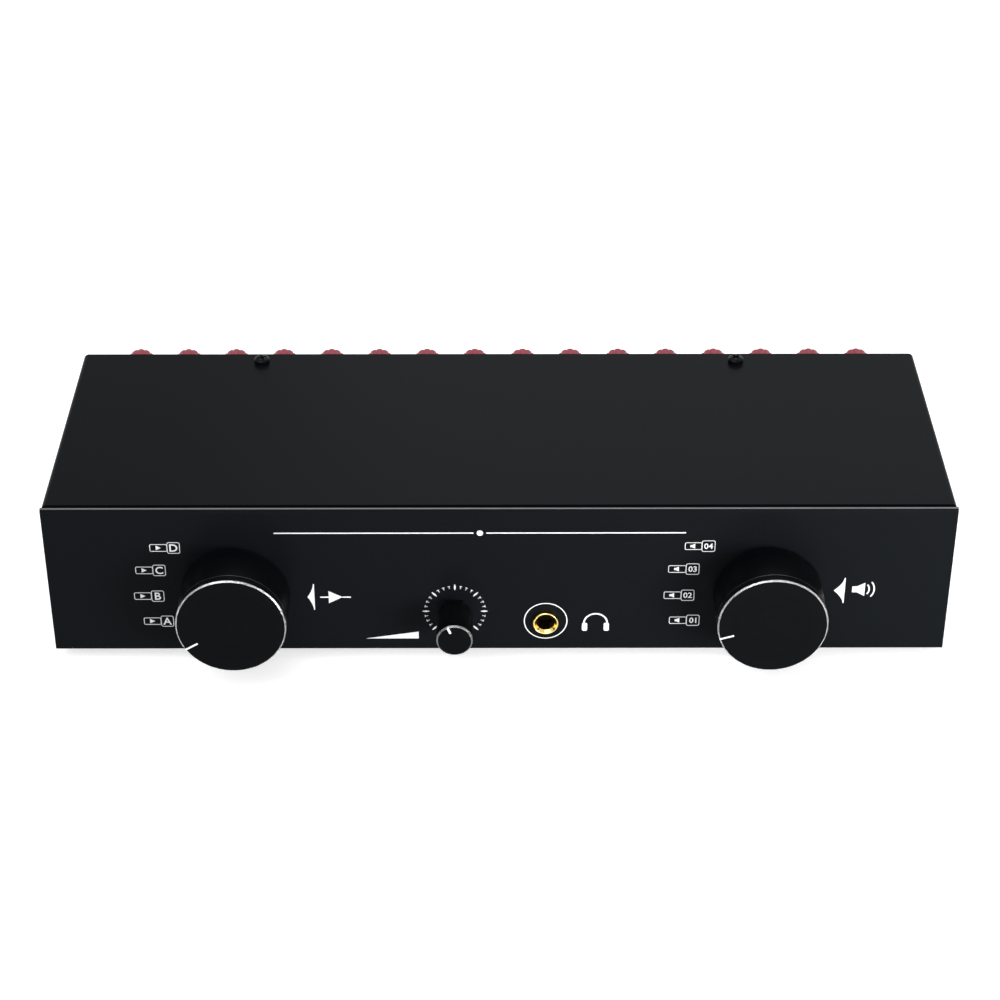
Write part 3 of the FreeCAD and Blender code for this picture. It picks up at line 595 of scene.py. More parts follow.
@dataclass(frozen=True)
class Finishes:
    """Every finish of the switch, named after what it is on."""

    # The case coat carries a painted highlight, a grey of 0.18, along the panel's upper bend.
    case_coat: Finish = Finish("case_coat", (0.0052, 0.0062, 0.0074), 0.30, Grain.POWDER, specular=0.018,
                               relief=0.08, scale=1400.0, cloud_scale=9.0, variation=0.05, painted_bend_highlight=0.18)
    panel_print: Finish = Finish("panel_print", (0.80, 0.81, 0.82), 0.55, Grain.POWDER, relief=0.05)
    cut_metal: Finish = Finish("cut_metal", (0.98, 0.98, 0.98), 0.34, Grain.POWDER, metallic=1.0, relief=0.02,
                               variation=0.02, gloss_change=0.02)
    groove_metal: Finish = Finish("groove_metal", (0.26, 0.26, 0.27), 0.3, metallic=1.0, relief=0.02)
    ferrule_brass: Finish = Finish("ferrule_brass", (0.80, 0.62, 0.22), 0.14, Grain.SPUN, metallic=1.0,
                                   relief=0.05, centre=(JACK_X, JACK_HEIGHT))
    nickel: Finish = Finish("nickel", (0.72, 0.69, 0.62), 0.2, Grain.BRUSHED, metallic=1.0, relief=0.05)
    zinc: Finish = Finish("zinc", (0.56, 0.57, 0.58), 0.34, Grain.BRUSHED, metallic=1.0, relief=0.1)
    silver: Finish = Finish("silver", (0.74, 0.72, 0.66), 0.3, Grain.BRUSHED, metallic=1.0, relief=0.05)
    screw_black: Finish = Finish("screw_black", (0.0025, 0.0028, 0.0032), 0.3, Grain.POWDER, specular=0.08,
                                 relief=0.1)
    dark_nickel: Finish = Finish("dark_nickel", (0.045, 0.045, 0.048), 0.35, Grain.BRUSHED, metallic=1.0,
                                 relief=0.05)
    black_moulding: Finish = Finish("black_moulding", (0.014, 0.014, 0.015), 0.42, Grain.MOULDED, relief=0.2)
    cap_red: Finish = Finish("cap_red", (0.30, 0.020, 0.042), 0.4, Grain.MOULDED, relief=0.1, specular=0.2)
    cap_black: Finish = Finish("cap_black", (0.012, 0.012, 0.013), 0.3, Grain.MOULDED, relief=0.1, coat=0.2)
    rubber: Finish = Finish("foot_rubber", (0.02, 0.02, 0.021), 0.8, Grain.MOULDED, specular=0.3, relief=0.4)
    laminate: Finish = Finish("wafer_laminate", (0.21, 0.10, 0.04), 0.55, Grain.BRUSHED, relief=0.3)
    nylon: Finish = Finish("rotor_nylon", (0.74, 0.73, 0.68), 0.4, Grain.MOULDED)
    lacquer: Finish = Finish("board_lacquer", (0.02, 0.15, 0.06), 0.28, coat=0.3)
    cement: Finish = Finish("resistor_cement", (0.74, 0.73, 0.69), 0.85, Grain.POWDER, relief=0.5)
    jacket: Finish = Finish("wire_jacket", (0.30, 0.02, 0.02), 0.4, Grain.MOULDED)


FINISHES = Finishes()


def knob_finish(name: str, x: float, z: float) -> Finish:
    """The black anodised finish of a knob whose turning marks run round its own axis.

    Args:
        name: name of the knob.
        x: axis.
        z: axis.

    Returns:
        The finish.
    """
    return Finish(f"{name}_anodised", (0.0022, 0.0025, 0.0029), 0.42, Grain.SPUN, metallic=0.0, specular=0.03,
                  relief=0.25, scale=4200.0, variation=0.25, centre=(x, z))


def dressed(item: bpy.types.Object, finish: Finish, body: str,
            replaced: Sequence[str] = ()) -> bpy.types.Object:
    """Give a new piece its finish and body, and hide the CAD nodes that it stands for.

    Args:
        item: the piece.
        finish: its finish.
        body: name of the CAD body that it rides on.
        replaced: CAD nodes that it hides.

    Returns:
        The piece.
    """
    item.data.materials.clear()
    item.data.materials.append(finish.material())
    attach(item, body)
    if replaced:
        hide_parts(*replaced)
    LOG.info("%s on %s", item.name, body)
    return item


@dataclass
class Knob:
    """A turned knob with a bright cut rim and a bright pointer, on an axis along Y."""

    name: str
    body: str
    x: float
    z: float
    pointer_angle: float
    radius: float = 19.25
    face: float = -76.9
    back: float = -56.9
    pointer_length: float = 5.3
    pointer_width: float = 0.65
    chamfer: float = 0.42
    groove: float = 3.1
    groove_depth: float = 0.45
    groove_rounding: float = 0.06
    groove_floor_rounding: float = 0.1
    groove_edge_width: float = 0.12
    groove_edge_proud: float = 0.01
    metal_proud: float = 0.015
    metal_depth: float = 0.2
    bore: float = 3.02
    bore_end: float = -72.3
    bore_rounding: float = 0.2
    back_rounding: float = 0.5
    recess_radius: float = 12.0
    recess_depth: float = 4.5
    recess_rounding: float = 0.3
    pointer_proud: float = 0.02
    pointer_depth: float = 0.3
    segments: int = 144

    def profile(self) -> list[tuple[float, float]]:
        """The knob's outline from the face's centre to the bottom of its bore.

        Returns:
            Points of (radius, y).
        """
        radius, face = self.radius, self.face
        corners = [(0.0, face), (radius - self.chamfer, face), (radius, face + self.chamfer)]
        sizes = [0.0, 0.0, 0.0]
        if self.groove:
            middle = face + self.groove
            corners += [(radius, middle - self.groove_depth), (radius - self.groove_depth, middle),
                        (radius, middle + self.groove_depth)]
            sizes += [self.groove_rounding, self.groove_floor_rounding, self.groove_rounding]
        corners += [(radius, self.back)]
        sizes += [self.back_rounding]
        if self.recess_depth:
            corners += [(self.recess_radius, self.back), (self.recess_radius, self.back - self.recess_depth)]
            sizes += [self.recess_rounding, self.recess_rounding]
        corners += [(self.bore, self.back - self.recess_depth), (self.bore, self.bore_end),
                    (0.0, self.bore_end)]
        sizes += [self.bore_rounding, 0.0, 0.0]
        return rounded(corners, sizes)

    def rim_profile(self) -> list[tuple[float, float]]:
        """The bright rim: a thin ring laid over the chamfer.

        Returns:
            A closed loop of (radius, y).
        """
        proud, depth = self.metal_proud, self.metal_depth
        inner, lower = self.radius - self.chamfer, self.face + self.chamfer
        return [(inner - proud, self.face - proud), (self.radius + proud, lower + proud),
                (self.radius - depth, lower + depth / 2), (inner - depth / 2, self.face + depth)]

    def groove_edge(self) -> Surface:
        """The narrow polished edge on the panel's side of the groove.

        Returns:
            A ring round the Y axis.
        """
        start = self.face + self.groove + self.groove_depth
        end = start + self.groove_edge_width
        outer, inner = self.radius + self.groove_edge_proud, self.radius - self.metal_depth
        return lathe([(outer, start), (outer, end), (inner, end), (inner, start)], self.segments, ring=True)

    def build(self) -> None:
        """Make the knob, its rim and its pointer."""
        finish = knob_finish(self.name, self.x, self.z)
        body = lathe(self.profile(), self.segments).moved(self.x, 0.0, self.z)
        dressed(body.mesh_object(f"{self.name}_turned", 25.0), finish, self.body, [self.name])
        rim = lathe(self.rim_profile(), self.segments, ring=True).moved(self.x, 0.0, self.z)
        dressed(rim.mesh_object(f"{self.name}_rim", 25.0), FINISHES.cut_metal, self.body)
        if self.groove:
            edge = self.groove_edge().moved(self.x, 0.0, self.z).mesh_object(f"{self.name}_groove_edge", 25.0)
            dressed(edge, FINISHES.groove_metal, self.body)
        self.pointer()

    def pointer(self) -> None:
        """The pointer: a bright bar let into the face, from the rim inwards."""
        outer = self.radius - 0.5 * self.chamfer
        inner = self.radius - self.pointer_length
        half = self.pointer_width / 2
        loop = rounded_box(inner, -half, outer, half, half * 0.6)
        bar = plate(loop, self.face - self.pointer_proud, self.face + self.pointer_depth)
        angle = math.radians(self.pointer_angle)
        turn = np.array([[math.cos(angle), 0.0, -math.sin(angle)], [0.0, 1.0, 0.0],
                         [math.sin(angle), 0.0, math.cos(angle)]])
        item = bar.turned(turn).moved(self.x, 0.0, self.z).mesh_object(f"{self.name}_pointer")
        dressed(item, FINISHES.cut_metal, self.body)


@dataclass
class PanelLip:
    """The rolled upper edge of the front panel, which stands up to the cover's top in front of its edge."""

    half_width: float = CASE_HALF_WIDTH
    proud: float = 0.015
    foot_sink: float = 0.005
    bottom: float = 62.4
    inside: float = 64.0
    depth: float = 0.3
    fall: float = 0.05
    steps: int = 11

    def outline(self) -> np.ndarray:
        """The edge's outline: up the panel, a quarter circle over the bend, back and down to the flange.

        Returns:
            A closed loop of (y, z).
        """
        turn = np.radians(np.linspace(180.0, 90.0, self.steps))
        bend = np.column_stack([LIP_CENTRE[0] - self.proud + LIP_RADIUS * np.cos(turn),
                                LIP_CENTRE[1] + LIP_RADIUS * np.sin(turn)])
        behind = PANEL_FRONT + self.depth
        front = [(behind, self.bottom), (PANEL_FRONT + self.foot_sink, self.bottom),
                 (PANEL_FRONT - self.proud, self.bottom + self.depth)]
        back = [(LIP_BACK, LIP_TOP - self.fall), (LIP_BACK, self.inside), (behind, self.inside)]
        return np.concatenate([front, bend, back])

    def build(self) -> None:
        """Carry the outline along X and close both ends."""
        loop = self.outline()
        ends = (np.column_stack([np.full(len(loop), side * self.half_width), loop]) for side in (-1.0, 1.0))
        item = prism(*ends).mesh_object("panel_lip", 30.0)
        dressed(item, FINISHES.case_coat, "case")


@dataclass
class HeadphoneJack:
    """The yellow ferrule round the headphone socket."""

    outer: float = 4.6
    thread: float = 4.2
    bore: float = 3.25
    front: float = -57.1
    back: float = -37.0
    step: float = 0.2
    step_depth: float = 1.0
    step_length: float = 0.25
    step_rounding: float = 0.12
    lip_width: float = 0.25
    lip_slope: float = 0.3
    lip_drop: float = 0.15
    lip_rounding: float = 0.15
    side_drop: float = 0.35
    side_rounding: float = 0.2
    segments: int = 96

    def build(self) -> None:
        """Make the ferrule: a rolled lip, a bore with an inner step and the threaded neck behind the panel."""
        step, lip = self.front + self.step_depth, self.outer - self.lip_slope
        corners = [(self.bore, self.back), (self.bore, step + self.step_length), (self.bore + self.step, step),
                   (lip - self.lip_width, self.front + self.lip_drop), (lip, self.front),
                   (self.outer, self.front + self.side_drop), (self.outer, PANEL_FRONT),
                   (self.thread, PANEL_FRONT), (self.thread, self.back)]
        sizes = [0.0, self.step_rounding, self.step_rounding, self.lip_rounding, self.lip_rounding,
                 self.side_rounding, 0.0, 0.0, 0.0]
        ring = lathe(rounded(corners, sizes), self.segments, ring=True).moved(JACK_X, 0.0, JACK_HEIGHT)
        dressed(ring.mesh_object("jack_ferrule_turned"), FINISHES.ferrule_brass, "case",
                ["jack_ferrule"])


@dataclass
class PostCap:
    """The fluted screw cap of one binding post."""

    color: str
    column: int
    radius: float = 5.6
    flute: float = 0.35
    flutes: int = 12
    bore: float = 3.1
    start: float = 59.9
    length: float = 15.1
    collar: float = 5.35
    collar_end: float = 2.0
    collar_bevel: float = 0.3
    neck: float = 5.1
    neck_end: float = 2.3
    grip_start: float = 2.8
    grip_end: float = 13.9
    shoulder: float = 5.3
    shoulder_end: float = 14.8
    crown: float = 4.7
    mouth: float = 0.5
    segments: int = 96

    def surface(self) -> Surface:
        """The cap: radius = stage radius less a flute that comes and goes along the grip, round a bore.

        Each stage is a radius, a distance from the cap's foot and the share of the flute's depth there.

        Returns:
            A closed ring surface round the Y axis at the origin.
        """
        bevel, length = self.collar_bevel, self.length
        stages = [
            (self.bore, 0.0, 0.0), (self.collar - bevel, 0.0, 0.0), (self.collar, bevel, 0.0),
            (self.collar, self.collar_end - bevel, 0.0), (self.neck, self.collar_end, 0.0),
            (self.neck, self.neck_end, 0.0), (self.radius, self.grip_start, 1.0),
            (self.radius, self.grip_end, 1.0), (self.shoulder, self.shoulder_end, 1.0),
            (self.crown, length, 0.5), (self.bore + self.mouth, length, 0.0),
            (self.bore, length - self.mouth, 0.0),
        ]
        table = np.array(stages)
        angle = np.linspace(0.0, 2.0 * math.pi, self.segments, endpoint=False)
        scallop = (0.5 - 0.5 * np.cos(self.flutes * angle)) ** 4
        radius = table[:, :1] - self.flute * table[:, 2:] * scallop
        along = np.broadcast_to(table[:, 1:2], radius.shape)
        points = np.stack([radius * np.cos(angle), along, radius * np.sin(angle)], axis=-1).reshape(-1, 3)
        quads = grid_faces(len(stages), self.segments, True, True)[:, ::-1]
        return Surface(points, [tuple(quad) for quad in quads.tolist()])

    def build(self) -> None:
        """Place the cap on its post and dress it."""
        x = POST_PITCH * (self.column - (POST_COLUMNS - 1) / 2)
        name = f"wire_clamp_{self.color}_{self.column + 1:02d}"
        cap = self.surface().moved(x, self.start, ROW_HEIGHTS[self.color])
        finish = FINISHES.cap_red if self.color == "red" else FINISHES.cap_black
        item = cap.mesh_object(f"{name}_fluted", 40.0)
        dressed(item, finish, f"cap_{self.color}_{self.column + 1:02d}", [name])


@dataclass
class CaseScrews:
    """The pan-head cross-recess screws of the cover and of the terminal boards."""

    head_radius: float = 2.9
    head_height: float = 2.4
    crown_fall: float = 0.35
    crown_power: float = 5.0
    cross_half: float = 0.52
    cross_slope: float = 0.16
    cross_reach: float = 1.75
    cross_end: float = 0.3
    cross_depth: float = 0.95
    shank_radius: float = 1.45
    shank_length: float = 5.0
    cover_place: tuple[float, float] = (90.8, 48.5)
    side_place: tuple[float, float] = (33.0, 12.5)
    board_face: float = 58.0
    first_turn: float = 20.0
    next_turn: float = 37.0
    rings: int = 15
    segments: int = 64

    def head(self) -> Surface:
        """A screw along +Z with its head's underside at 0.

        The crown is height = cap curve less a cross that is deep near the centre line of two bars, and it
        closes over the rim onto the underside and the shank.

        Returns:
            The closed surface.
        """
        share = np.linspace(0.0, 1.0, self.rings)[:, None]
        angle = np.linspace(0.0, 2.0 * math.pi, self.segments, endpoint=False)
        radius = self.head_radius * share * np.ones_like(angle)
        x, y = radius * np.cos(angle), radius * np.sin(angle)
        crown = self.head_height * (1.0 - self.crown_fall * share ** self.crown_power * np.ones_like(angle))
        near = np.minimum(np.abs(x), np.abs(y))
        across = np.clip((self.cross_half - near) / self.cross_slope, 0.0, 1.0)
        along = np.clip((self.cross_reach - radius) / self.cross_end, 0.0, 1.0)
        rows = [np.stack([x, y, crown - self.cross_depth * across * along], axis=-1)]
        tip = -self.shank_length
        for edge, height in ((self.head_radius, 0.0), (self.shank_radius, 0.0),
                             (self.shank_radius, tip), (0.0, tip)):
            ring = np.stack([edge * np.cos(angle), edge * np.sin(angle), np.full_like(angle, height)], axis=-1)
            rows.append(ring[None])
        points = np.concatenate(rows).reshape(-1, 3)
        quads = grid_faces(len(points) // self.segments, self.segments, False, True)[:, ::-1]
        keep = np.arange(len(points))
        keep[:self.segments] = 0
        keep[-self.segments:] = len(points) - self.segments
        return over_poles(points, quads, keep)

    def places(self) -> list[tuple[tuple[float, float, float], tuple[float, float, float]]]:
        """Where each head's underside stands and the way that it points.

        Returns:
            A place and a direction for each screw.
        """
        found = []
        for side in (-1.0, 1.0):
            found.append(((side * self.cover_place[0], self.cover_place[1], CASE_TOP), (0.0, 0.0, 1.0)))
            for end in (-1.0, 1.0):
                place = (side * CASE_HALF_WIDTH, end * self.side_place[0], self.side_place[1])
                found.append((place, (side, 0.0, 0.0)))
        for board in range(BOARD_COUNT):
            x = POST_PITCH * (2 * board - BOARD_COUNT + 1)
            found.append(((x, self.board_face, sum(ROW_HEIGHTS.values()) / 2), (0.0, 1.0, 0.0)))
        return found

    def build(self) -> None:
        """Make all the screws as one piece, each turned by its own odd angle."""
        head = self.head()
        screws = []
        for index, (place, axis) in enumerate(self.places()):
            turn = Vector((0.0, 0.0, 1.0)).rotation_difference(Vector(axis)).to_matrix()
            spin = Matrix.Rotation(math.radians(self.next_turn * index + self.first_turn), 3, "Z")
            screws.append(head.turned(np.array(turn @ spin)).moved(*place))
        item = joined(screws).mesh_object("case_screws_pan_head", 30.0)
        dressed(item, FINISHES.screw_black, "case", ["case_screws"])


@dataclass
class Feet:
    """Four turned rubber feet with a hollow for their rivet."""

    radius: float = 7.0
    height: float = 5.0
    x: float = 138.0
    y: float = 37.0
    hollow_radius: float = 2.6
    hollow_mouth: float = 3.2
    hollow_depth: float = 1.2
    hollow_rounding: float = 0.3
    bevel: float = 0.7
    sole_rounding: float = 0.5
    side_rounding: float = 0.6
    taper: float = 0.3
    segments: int = 64

    def build(self) -> None:
        """Make the feet, each a lathe profile stood upright."""
        corners = [(0.0, self.hollow_depth), (self.hollow_radius, self.hollow_depth), (self.hollow_mouth, 0.0),
                   (self.radius - self.bevel, 0.0), (self.radius, self.bevel),
                   (self.radius - self.taper, self.height), (0.0, self.height)]
        sizes = [0.0, self.hollow_rounding, self.hollow_rounding, self.sole_rounding, self.side_rounding,
                 0.0, 0.0]
        upright = np.array([[1.0, 0.0, 0.0], [0.0, 0.0, -1.0], [0.0, 1.0, 0.0]])
        foot = lathe(rounded(corners, sizes), self.segments).turned(upright)
        feet = [foot.moved(sx * self.x, sy * self.y, 0.0) for sx in (-1, 1) for sy in (-1, 1)]
        dressed(joined(feet).mesh_object("rubber_feet_turned"), FINISHES.rubber, "case",
                ["rubber_feet"])


@dataclass
class PanelPrint:
    """The white print of the front panel: position marks, arrows, dial ticks and plain pictures.

    Places are (x, z) with z counted from the case's bottom edge.
    """

    front: float = PANEL_FRONT - 0.03
    back: float = PANEL_FRONT + 0.01
    line: float = 0.23
    letter_offset: float = 0.014
    label_height: float = 4.75
    label_corner: float = 0.75
    label_middle: float = 2.37
    sign_low: float = 0.85
    sign_high: float = 3.95
    sign_corner: float = 0.6
    sign_middle: float = 2.4
    overlap: float = 0.1
    number_width: float = 4.75
    tick_step: float = 11.25
    ticks_each_side: int = 12
    rule_height: float = 50.3
    rule_line: float = 0.45
    marks: list[Surface] = field(default_factory=list)

    def filled(self, loop: np.ndarray) -> None:
        """Print a filled shape."""
        self.marks.append(plate(self.lifted(loop), self.front, self.back))

    def lifted(self, loop: np.ndarray) -> np.ndarray:
        """A loop moved up from the case's bottom edge to the part's frame."""
        return loop + np.array([0.0, CASE_BOTTOM])

    def ring(self, outer: np.ndarray, inner: np.ndarray) -> None:
        """Print the strip between two loops."""
        self.marks.append(band(self.lifted(outer), self.lifted(inner), self.front, self.back))

    def frame(self, x0: float, z0: float, x1: float, z1: float, radius: float) -> None:
        """Print a rounded frame.

        Args:
            x0: outer left side.
            z0: outer lower side.
            x1: outer right side.
            z1: outer upper side.
            radius: outer corner radius.
        """
        t = self.line
        inside = rounded_box(x0 + t, z0 + t, x1 - t, z1 - t, max(radius - t, 0.1))
        self.ring(rounded_box(x0, z0, x1, z1, radius), inside)

    def flush(self, name: str) -> None:
        """Make one piece of what has been printed so far.

        Args:
            name: name of the piece.
        """
        item = joined(self.marks).mesh_object(name)
        dressed(item, FINISHES.panel_print, "case")
        self.marks = []

    def letters(self, text: str, x: float, z: float, height: float) -> None:
        """Print a plain letter or number, centred at a place.

        Args:
            text: what is printed.
            x: centre.
            z: centre.
            height: height of a capital.
        """
        curve = bpy.data.curves.new("mark", "FONT")
        curve.body = text
        curve.size = 1.0
        curve.offset = self.letter_offset
        curve.extrude = 0.5
        curve.resolution_u = 3
        shape = bpy.data.objects.new("mark", curve)
        bpy.context.scene.collection.objects.link(shape)
        mesh = bpy.data.meshes.new_from_object(shape)
        points = np.zeros(len(mesh.vertices) * 3)
        mesh.vertices.foreach_get("co", points)
        points = points.reshape(-1, 3)
        low, high = points.min(0), points.max(0)
        size = height / (high[1] - low[1])
        centre = (low + high) / 2
        flat = (points - centre) * size
        depth = np.where(points[:, 2] > 0, self.front, self.back)
        placed = np.column_stack([flat[:, 0] + x, depth, flat[:, 1] + z + CASE_BOTTOM])
        faces = [tuple(polygon.vertices) for polygon in mesh.polygons]
        self.marks.append(Surface(placed, faces))
        bpy.data.objects.remove(shape)
        bpy.data.curves.remove(curve)
        bpy.data.meshes.remove(mesh)

    def amplifier_sign(self, x: float, z: float, size: float) -> None:
        """Print a triangle that points right, the usual drawing sign of an amplifier."""
        outline = np.array([[-0.45, -0.5], [0.5, 0.0], [-0.45, 0.5]])
        self.filled(outline * size + np.array([x, z]))

    def speaker_sign(self, x: float, z: float, size: float) -> None:
        """Print a driver and horn, the usual drawing sign of a loudspeaker."""
        outline = np.array([[-0.5, -0.22], [-0.2, -0.22], [0.3, -0.5], [0.3, 0.5], [-0.2, 0.22], [-0.5, 0.22]])
        self.filled(outline * size + np.array([x, z]))

    def build(self) -> None:
        """Print everything, group by group."""
        self.left_marks()
        self.right_marks()
        self.arrows()
        self.volume_dial()
        self.jack_print()
        self.title_rule()

    def position(self, left: float, middle: float, right: float, low: float) -> tuple[float, float]:
        """Print a small frame for a sign and beside it a larger one for a letter or number.

        Args:
            left: outer side of the small frame.
            middle: where the frames meet.
            right: outer side of the larger frame.
            low: foot of the larger frame.

        Returns:
            The middle of the small frame, and that of the larger one, along X.
        """
        self.frame(left, low + self.sign_low, middle + self.overlap, low + self.sign_high, self.sign_corner)
        self.frame(middle, low, right, low + self.label_height, self.label_corner)
        return (left + middle) / 2, (middle + right) / 2

    def left_marks(self) -> None:
        """The four amplifier positions: a sign in a small frame, and a letter in a larger one."""
        rows = [("A", -127.3, -121.2, -116.6, 10.4), ("B", -129.9, -123.8, -119.2, 21.35),
                ("C", -128.6, -122.5, -117.9, 32.45), ("D", -122.9, -116.8, -112.2, 42.0)]
        for letter, left, middle, right, low in rows:
            sign, label = self.position(left, middle, right, low)
            self.amplifier_sign(sign, low + self.sign_middle, 1.9)
            self.letters(letter, label, low + self.label_middle, 3.1)
        self.flush("print_amplifier_positions")

    def right_marks(self) -> None:
        """The four loudspeaker positions: a sign in a small frame, and a number in a larger one."""
        rows = [("01", 60.8, 71.7, 10.5), ("02", 58.5, 69.4, 21.45), ("03", 59.7, 70.7, 32.75),
                ("04", 65.2, 75.9, 42.5)]
        for text, left, right, low in rows:
            sign, label = self.position(left, right - self.number_width, right, low)
            self.speaker_sign(sign, low + self.sign_middle, 2.1)
            self.letters(text, label, low + self.label_middle, 2.35)
        self.flush("print_speaker_positions")

    def sail(self, x0: float, x1: float, z0: float, z1: float, edge: float = 0.35, hollow: float = 1.7) -> None:
        """Print a sail that points left: a straight right side and two hollow flanks.

        Args:
            x0: tip.
            x1: straight side.
            z0: lower end.
            z1: upper end.
            edge: width of the sail at its two ends.
            hollow: power of the flanks' curve, 1 for straight ones.
        """
        middle = (z0 + z1) / 2
        share = np.linspace(0.0, 1.0, 9)
        bow = x1 - edge - (x1 - x0 - edge) * share ** hollow
        upper = np.column_stack([bow, z1 + (middle - z1) * share])
        lower = np.column_stack([bow[::-1], middle + (z0 - middle) * share])[1:]
        self.filled(np.concatenate([[[x1, z0]], [[x1, z1]], upper, lower]))

    def arrows(self) -> None:
        """The arrows right of each selector, each with the sign of what the knob picks."""
        amplifier, speaker = (-58.4, 23.2), (128.2, 26.3)
        self.sail(-68.3, -65.8, 17.7, 28.8)
        self.amplifier_sign(*amplifier, 5.2)
        for start in (-63.8, -56.0):
            self.filled(rounded_box(start, amplifier[1] - 0.25, start + 3.2, amplifier[1] + 0.25, 0.2))
        self.sail(118.9, 122.8, 20.4, 31.2)
        self.speaker_sign(*speaker, 5.6)
        for radius in (3.0, 4.8):
            self.filled(sector(*speaker, radius, radius + 0.5, -38.0, 38.0))
        self.flush("print_arrows")

    def diamond(self, inner: float, outer: float, angle: float, half: float, tip: float = 0.12) -> None:
        """Print a pointed tick that lies along a radius of the volume dial.

        Args:
            inner: radius of its inner point.
            outer: radius of its outer point.
            angle: its direction in degrees from +X.
            half: half its width in the middle.
            tip: half its width at both points.
        """
        turn = math.radians(angle)
        along = np.array([math.cos(turn), math.sin(turn)])
        across = np.array([-math.sin(turn), math.cos(turn)])
        centre = np.array([VOLUME_X, VOLUME_HEIGHT - CASE_BOTTOM])
        middle = (inner + outer) / 2
        corners = [(inner, tip), (inner, -tip), (middle, -half), (outer, -tip), (outer, tip), (middle, half)]
        self.filled(np.array([centre + along * reach + across * side for reach, side in corners]))

    def volume_dial(self) -> None:
        """The dial ring: seven long ticks, three short ones between each two, and a wedge."""
        x, z = VOLUME_X, VOLUME_HEIGHT - CASE_BOTTOM
        for index in range(-self.ticks_each_side, self.ticks_each_side + 1):
            angle = 90.0 - index * self.tick_step
            if index % 4 == 0:
                self.diamond(9.2, 11.6, angle, 0.36)
            else:
                self.filled(sector(x, z, 9.9, 10.8, angle - 0.6, angle + 0.6, 2))
                self.filled(sector(x, z, 10.78, 11.02, angle - 2.3, angle + 2.3, 4))
        self.filled(np.array([[-48.0, 5.0], [-29.0, 5.0], [-29.0, 8.0]]))
        self.flush("print_volume_dial")

    def jack_print(self) -> None:
        """The ring round the jack and the sign of a pair of headphones."""
        x, z = JACK_X, JACK_HEIGHT - CASE_BOTTOM
        self.ring(arc_loop(x, z, 7.82), arc_loop(x, z, 7.46))
        crown, foot, reach = 34.5, 11.6, 3.9
        self.filled(sector(crown, foot, reach, reach + 0.6, 0.0, 180.0, 24))
        for side in (-1.0, 1.0):
            middle = crown + side * reach
            self.filled(rounded_box(middle - 0.95, 8.3, middle + 0.95, 11.8, 0.6))
        self.flush("print_jack_ring")

    def title_rule(self) -> None:
        """A fine rule in two lengths with a dot between them, where the panel's heading line runs."""
        low, high = self.rule_height, self.rule_height + self.rule_line
        for start in (-79.0, -4.6):
            self.filled(rounded_box(start, low, start + 70.0, high, 0.2))
        self.filled(rounded_box(-7.9, 49.4, -5.7, 51.6, 1.0))
        self.flush("print_heading_rule")


@dataclass
class CarriedNodes:
    """The CAD nodes that stay as they are, each with its finish."""

    nodes: dict[str, bpy.types.Object]

    def finishes(self) -> dict[str, Finish]:
        """The finish of each node that the scene keeps.

        Returns:
            A finish for each node's name.
        """
        kept = FINISHES
        return {
            "chassis": kept.case_coat, "top_cover": kept.case_coat, "terminal_boards": kept.black_moulding,
            "post_studs": kept.nickel, "index_housings": kept.zinc, "switch_wafers": kept.laminate,
            "wafer_lugs": kept.silver, "switch_tie_rods": kept.zinc, "panel_nuts": kept.dark_nickel,
            "amp_knob_screw": kept.screw_black, "speaker_knob_screw": kept.screw_black,
            "amp_shaft": kept.zinc, "speaker_shaft": kept.zinc, "volume_shaft": kept.zinc,
            "amp_rotors": kept.nylon, "speaker_rotors": kept.nylon, "volume_pot": kept.zinc,
            "jack_body": kept.black_moulding, "jack_contacts": kept.silver, "headphone_board": kept.lacquer,
            "headphone_resistors": kept.cement, "wiring": kept.jacket,
        }

    def build(self) -> None:
        """Put each finish in its node's material slots."""
        for name, finish in self.finishes().items():
            item = self.nodes[name]
            item.data.materials.clear()
            item.data.materials.append(finish.material())
            LOG.info("%s wears %s", name, finish.name)


